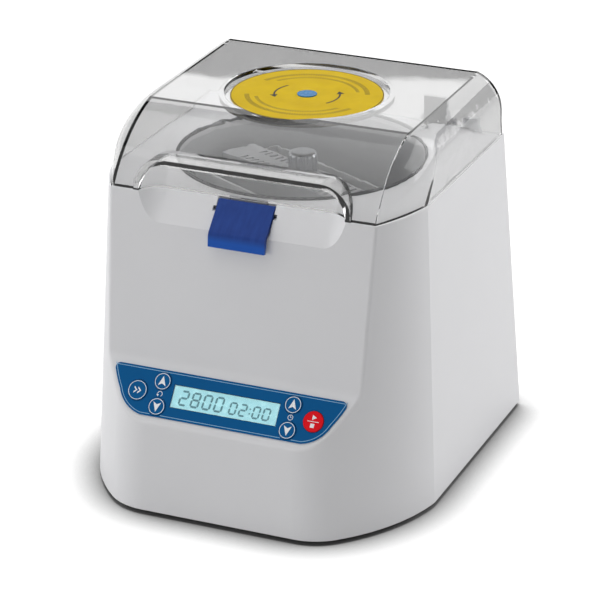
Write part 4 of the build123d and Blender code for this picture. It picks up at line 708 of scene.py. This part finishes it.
def make_floor():
    """White floor.  The eye sees it lit by the studio, with a painted contact shadow that dims its glow where
    the object crowds it.
    """
    finish = Finish("floor", roughness=0.8, specular_ior_level=0.0, base_color=FLOOR_COLOUR)
    painted_shadow_occlusion = finish.node("ShaderNodeAmbientOcclusion", samples=16)
    painted_shadow_occlusion.inputs["Distance"].default_value = PAINTED_SHADOW_REACH
    # painted shadow: the glow the camera sees fades with ambient occlusion near the object, not with blocked
    # lamps
    white = finish.spread(painted_shadow_occlusion.outputs["AO"], 0.0, FLOOR_GLOW, CROWDED, OPEN)
    glow = finish.node("ShaderNodeEmission")
    finish.link(white, glow.inputs["Strength"])
    lit = finish.node("ShaderNodeBsdfDiffuse")
    lit.inputs["Color"].default_value = (FLOOR_LIT, FLOOR_LIT, FLOOR_LIT, 1.0)
    both = finish.node("ShaderNodeAddShader")
    finish.link(lit.outputs[0], both.inputs[0])
    finish.link(glow.outputs[0], both.inputs[1])
    path = finish.node("ShaderNodeLightPath")
    camera, glossy, transmission = (path.outputs[ray] for ray in SEEN_RAYS)
    seen = finish.maths("MAXIMUM", finish.maths("MAXIMUM", camera, glossy), transmission)
    finish.surface(seen, finish.shader.outputs[0], both.outputs[0])
    corners = corners_of((-FLOOR_HALF, -FLOOR_HALF), (FLOOR_HALF, FLOOR_HALF))
    staged_sheet("floor", [(x, y, FLOOR_LEVEL) for x, y in corners], finish)


def make_world():
    """White for the camera, in reflections and through glass, and a soft light from all around."""
    world = bpy.data.worlds.new("studio")
    world.use_nodes = True
    bpy.context.scene.world = world
    tree = world.node_tree
    tree.nodes.clear()
    path = tree.nodes.new("ShaderNodeLightPath")
    room = tree.nodes.new("ShaderNodeValue")
    room.outputs[0].default_value = ROOM_LIGHT
    strength = room.outputs[0]
    for ray in SEEN_RAYS:
        mix = tree.nodes.new("ShaderNodeMix")
        mix.data_type = "FLOAT"
        tree.links.new(path.outputs[ray], mix.inputs["Factor"])
        tree.links.new(strength, mix.inputs["A"])
        mix.inputs["B"].default_value = 1.0
        strength = mix.outputs["Result"]
    background = tree.nodes.new("ShaderNodeBackground")
    background.inputs["Color"].default_value = WHITE
    out = tree.nodes.new("ShaderNodeOutputWorld")
    tree.links.new(strength, background.inputs["Strength"])
    tree.links.new(background.outputs[0], out.inputs["Surface"])


def make_card(name, corners, fill):
    """Card seen only in gloss.  Its glow is filled in by a function of the finish."""
    finish = Finish(name, specular_ior_level=0.0, base_color=BLACK)
    glow = finish.node("ShaderNodeEmission")
    finish.link(fill(finish), glow.inputs["Strength"])
    finish.link(glow.outputs[0], finish.out.inputs["Surface"])
    card = staged_sheet(name, corners, finish)
    card.visible_camera = card.visible_diffuse = card.visible_transmission = card.visible_shadow = False


REAR_CARD = ((-1.4, 0.3), (1.0, 2.0))       # across and up
REAR_CARD_Y = 1.2
REAR_DIM, REAR_BRIGHT = 0.02, 2.5
REAR_EDGE_LEFT, REAR_EDGE_RIGHT = (-0.58, 0.675), (-0.38, 0.645)    # its bright part's lower edge steps down
REAR_EDGE_RAGGED = 0.008
REAR_EDGE_SOFT = (-0.002, 0.004)
TOP_CARD = ((-1.2, -0.5), (0.5, 1.1))       # across and along
TOP_CARD_Z = 1.7
TOP_DIM, TOP_BRIGHT = 0.1, 1.6
TOP_EDGE = (-0.8, -0.7)


def rear_glow(finish):
    """Bright above an uneven lower edge."""
    (left, high), (right, low) = REAR_EDGE_LEFT, REAR_EDGE_RIGHT
    edge = finish.spread(finish.axis(SIDEWAYS), high, low, left, right)
    ragged = finish.spread(finish.noise(9.0, 3.0), -REAR_EDGE_RAGGED, REAR_EDGE_RAGGED)
    above = finish.maths("SUBTRACT", finish.axis(UPRIGHT), finish.maths("ADD", edge, ragged))
    return finish.spread(above, REAR_DIM, REAR_BRIGHT, *REAR_EDGE_SOFT)


def top_glow(finish):
    """Bright towards the right, with a soft left edge."""
    return finish.spread(finish.axis(SIDEWAYS), TOP_DIM, TOP_BRIGHT, *TOP_EDGE)


def make_cards():
    """What the lid mirrors: a card behind the object and one above it."""
    make_card("rear_card", [(x, REAR_CARD_Y, z) for x, z in corners_of(*REAR_CARD)], rear_glow)
    make_card("top_card", [(x, y, TOP_CARD_Z) for x, y in corners_of(*TOP_CARD)], top_glow)


# name, place, target, size, power in watts
SOFT_BOXES = (
    ("right_box", (1.2, 1.1, 0.8), (0.0, 0.0, 0.12), (1.2, 1.2), 18.0),
    ("left_box", (-1.5, -0.3, 0.7), (0.0, 0.0, 0.12), (1.0, 1.2), 8.0),
    ("front_box", (-0.9, -1.6, 0.35), (0.0, -0.1, 0.06), (1.0, 0.6), 6.0),
    ("top_box", (-0.2, 0.0, 1.7), (0.0, 0.0, 0.1), (1.4, 1.2), 11.5),
)


def make_lamp(name, place, target, size, power):
    """Soft box that looks at a target and shows in no picture or gloss."""
    data = bpy.data.lights.new(name, "AREA")
    data.shape = "RECTANGLE"
    data.size, data.size_y = size
    data.energy = power
    lamp = bpy.data.objects.new(name, data)
    lamp.location = place
    lamp.rotation_mode = "QUATERNION"
    lamp.rotation_quaternion = (Vector(place) - Vector(target)).to_track_quat("Z", "Y")
    lamp.visible_camera = lamp.visible_glossy = False
    bpy.context.scene.collection.objects.link(lamp)


make_floor()
make_world()
make_cards()
for soft_box in SOFT_BOXES:
    make_lamp(*soft_box)

bpy.context.scene.view_settings.view_transform = "Standard"
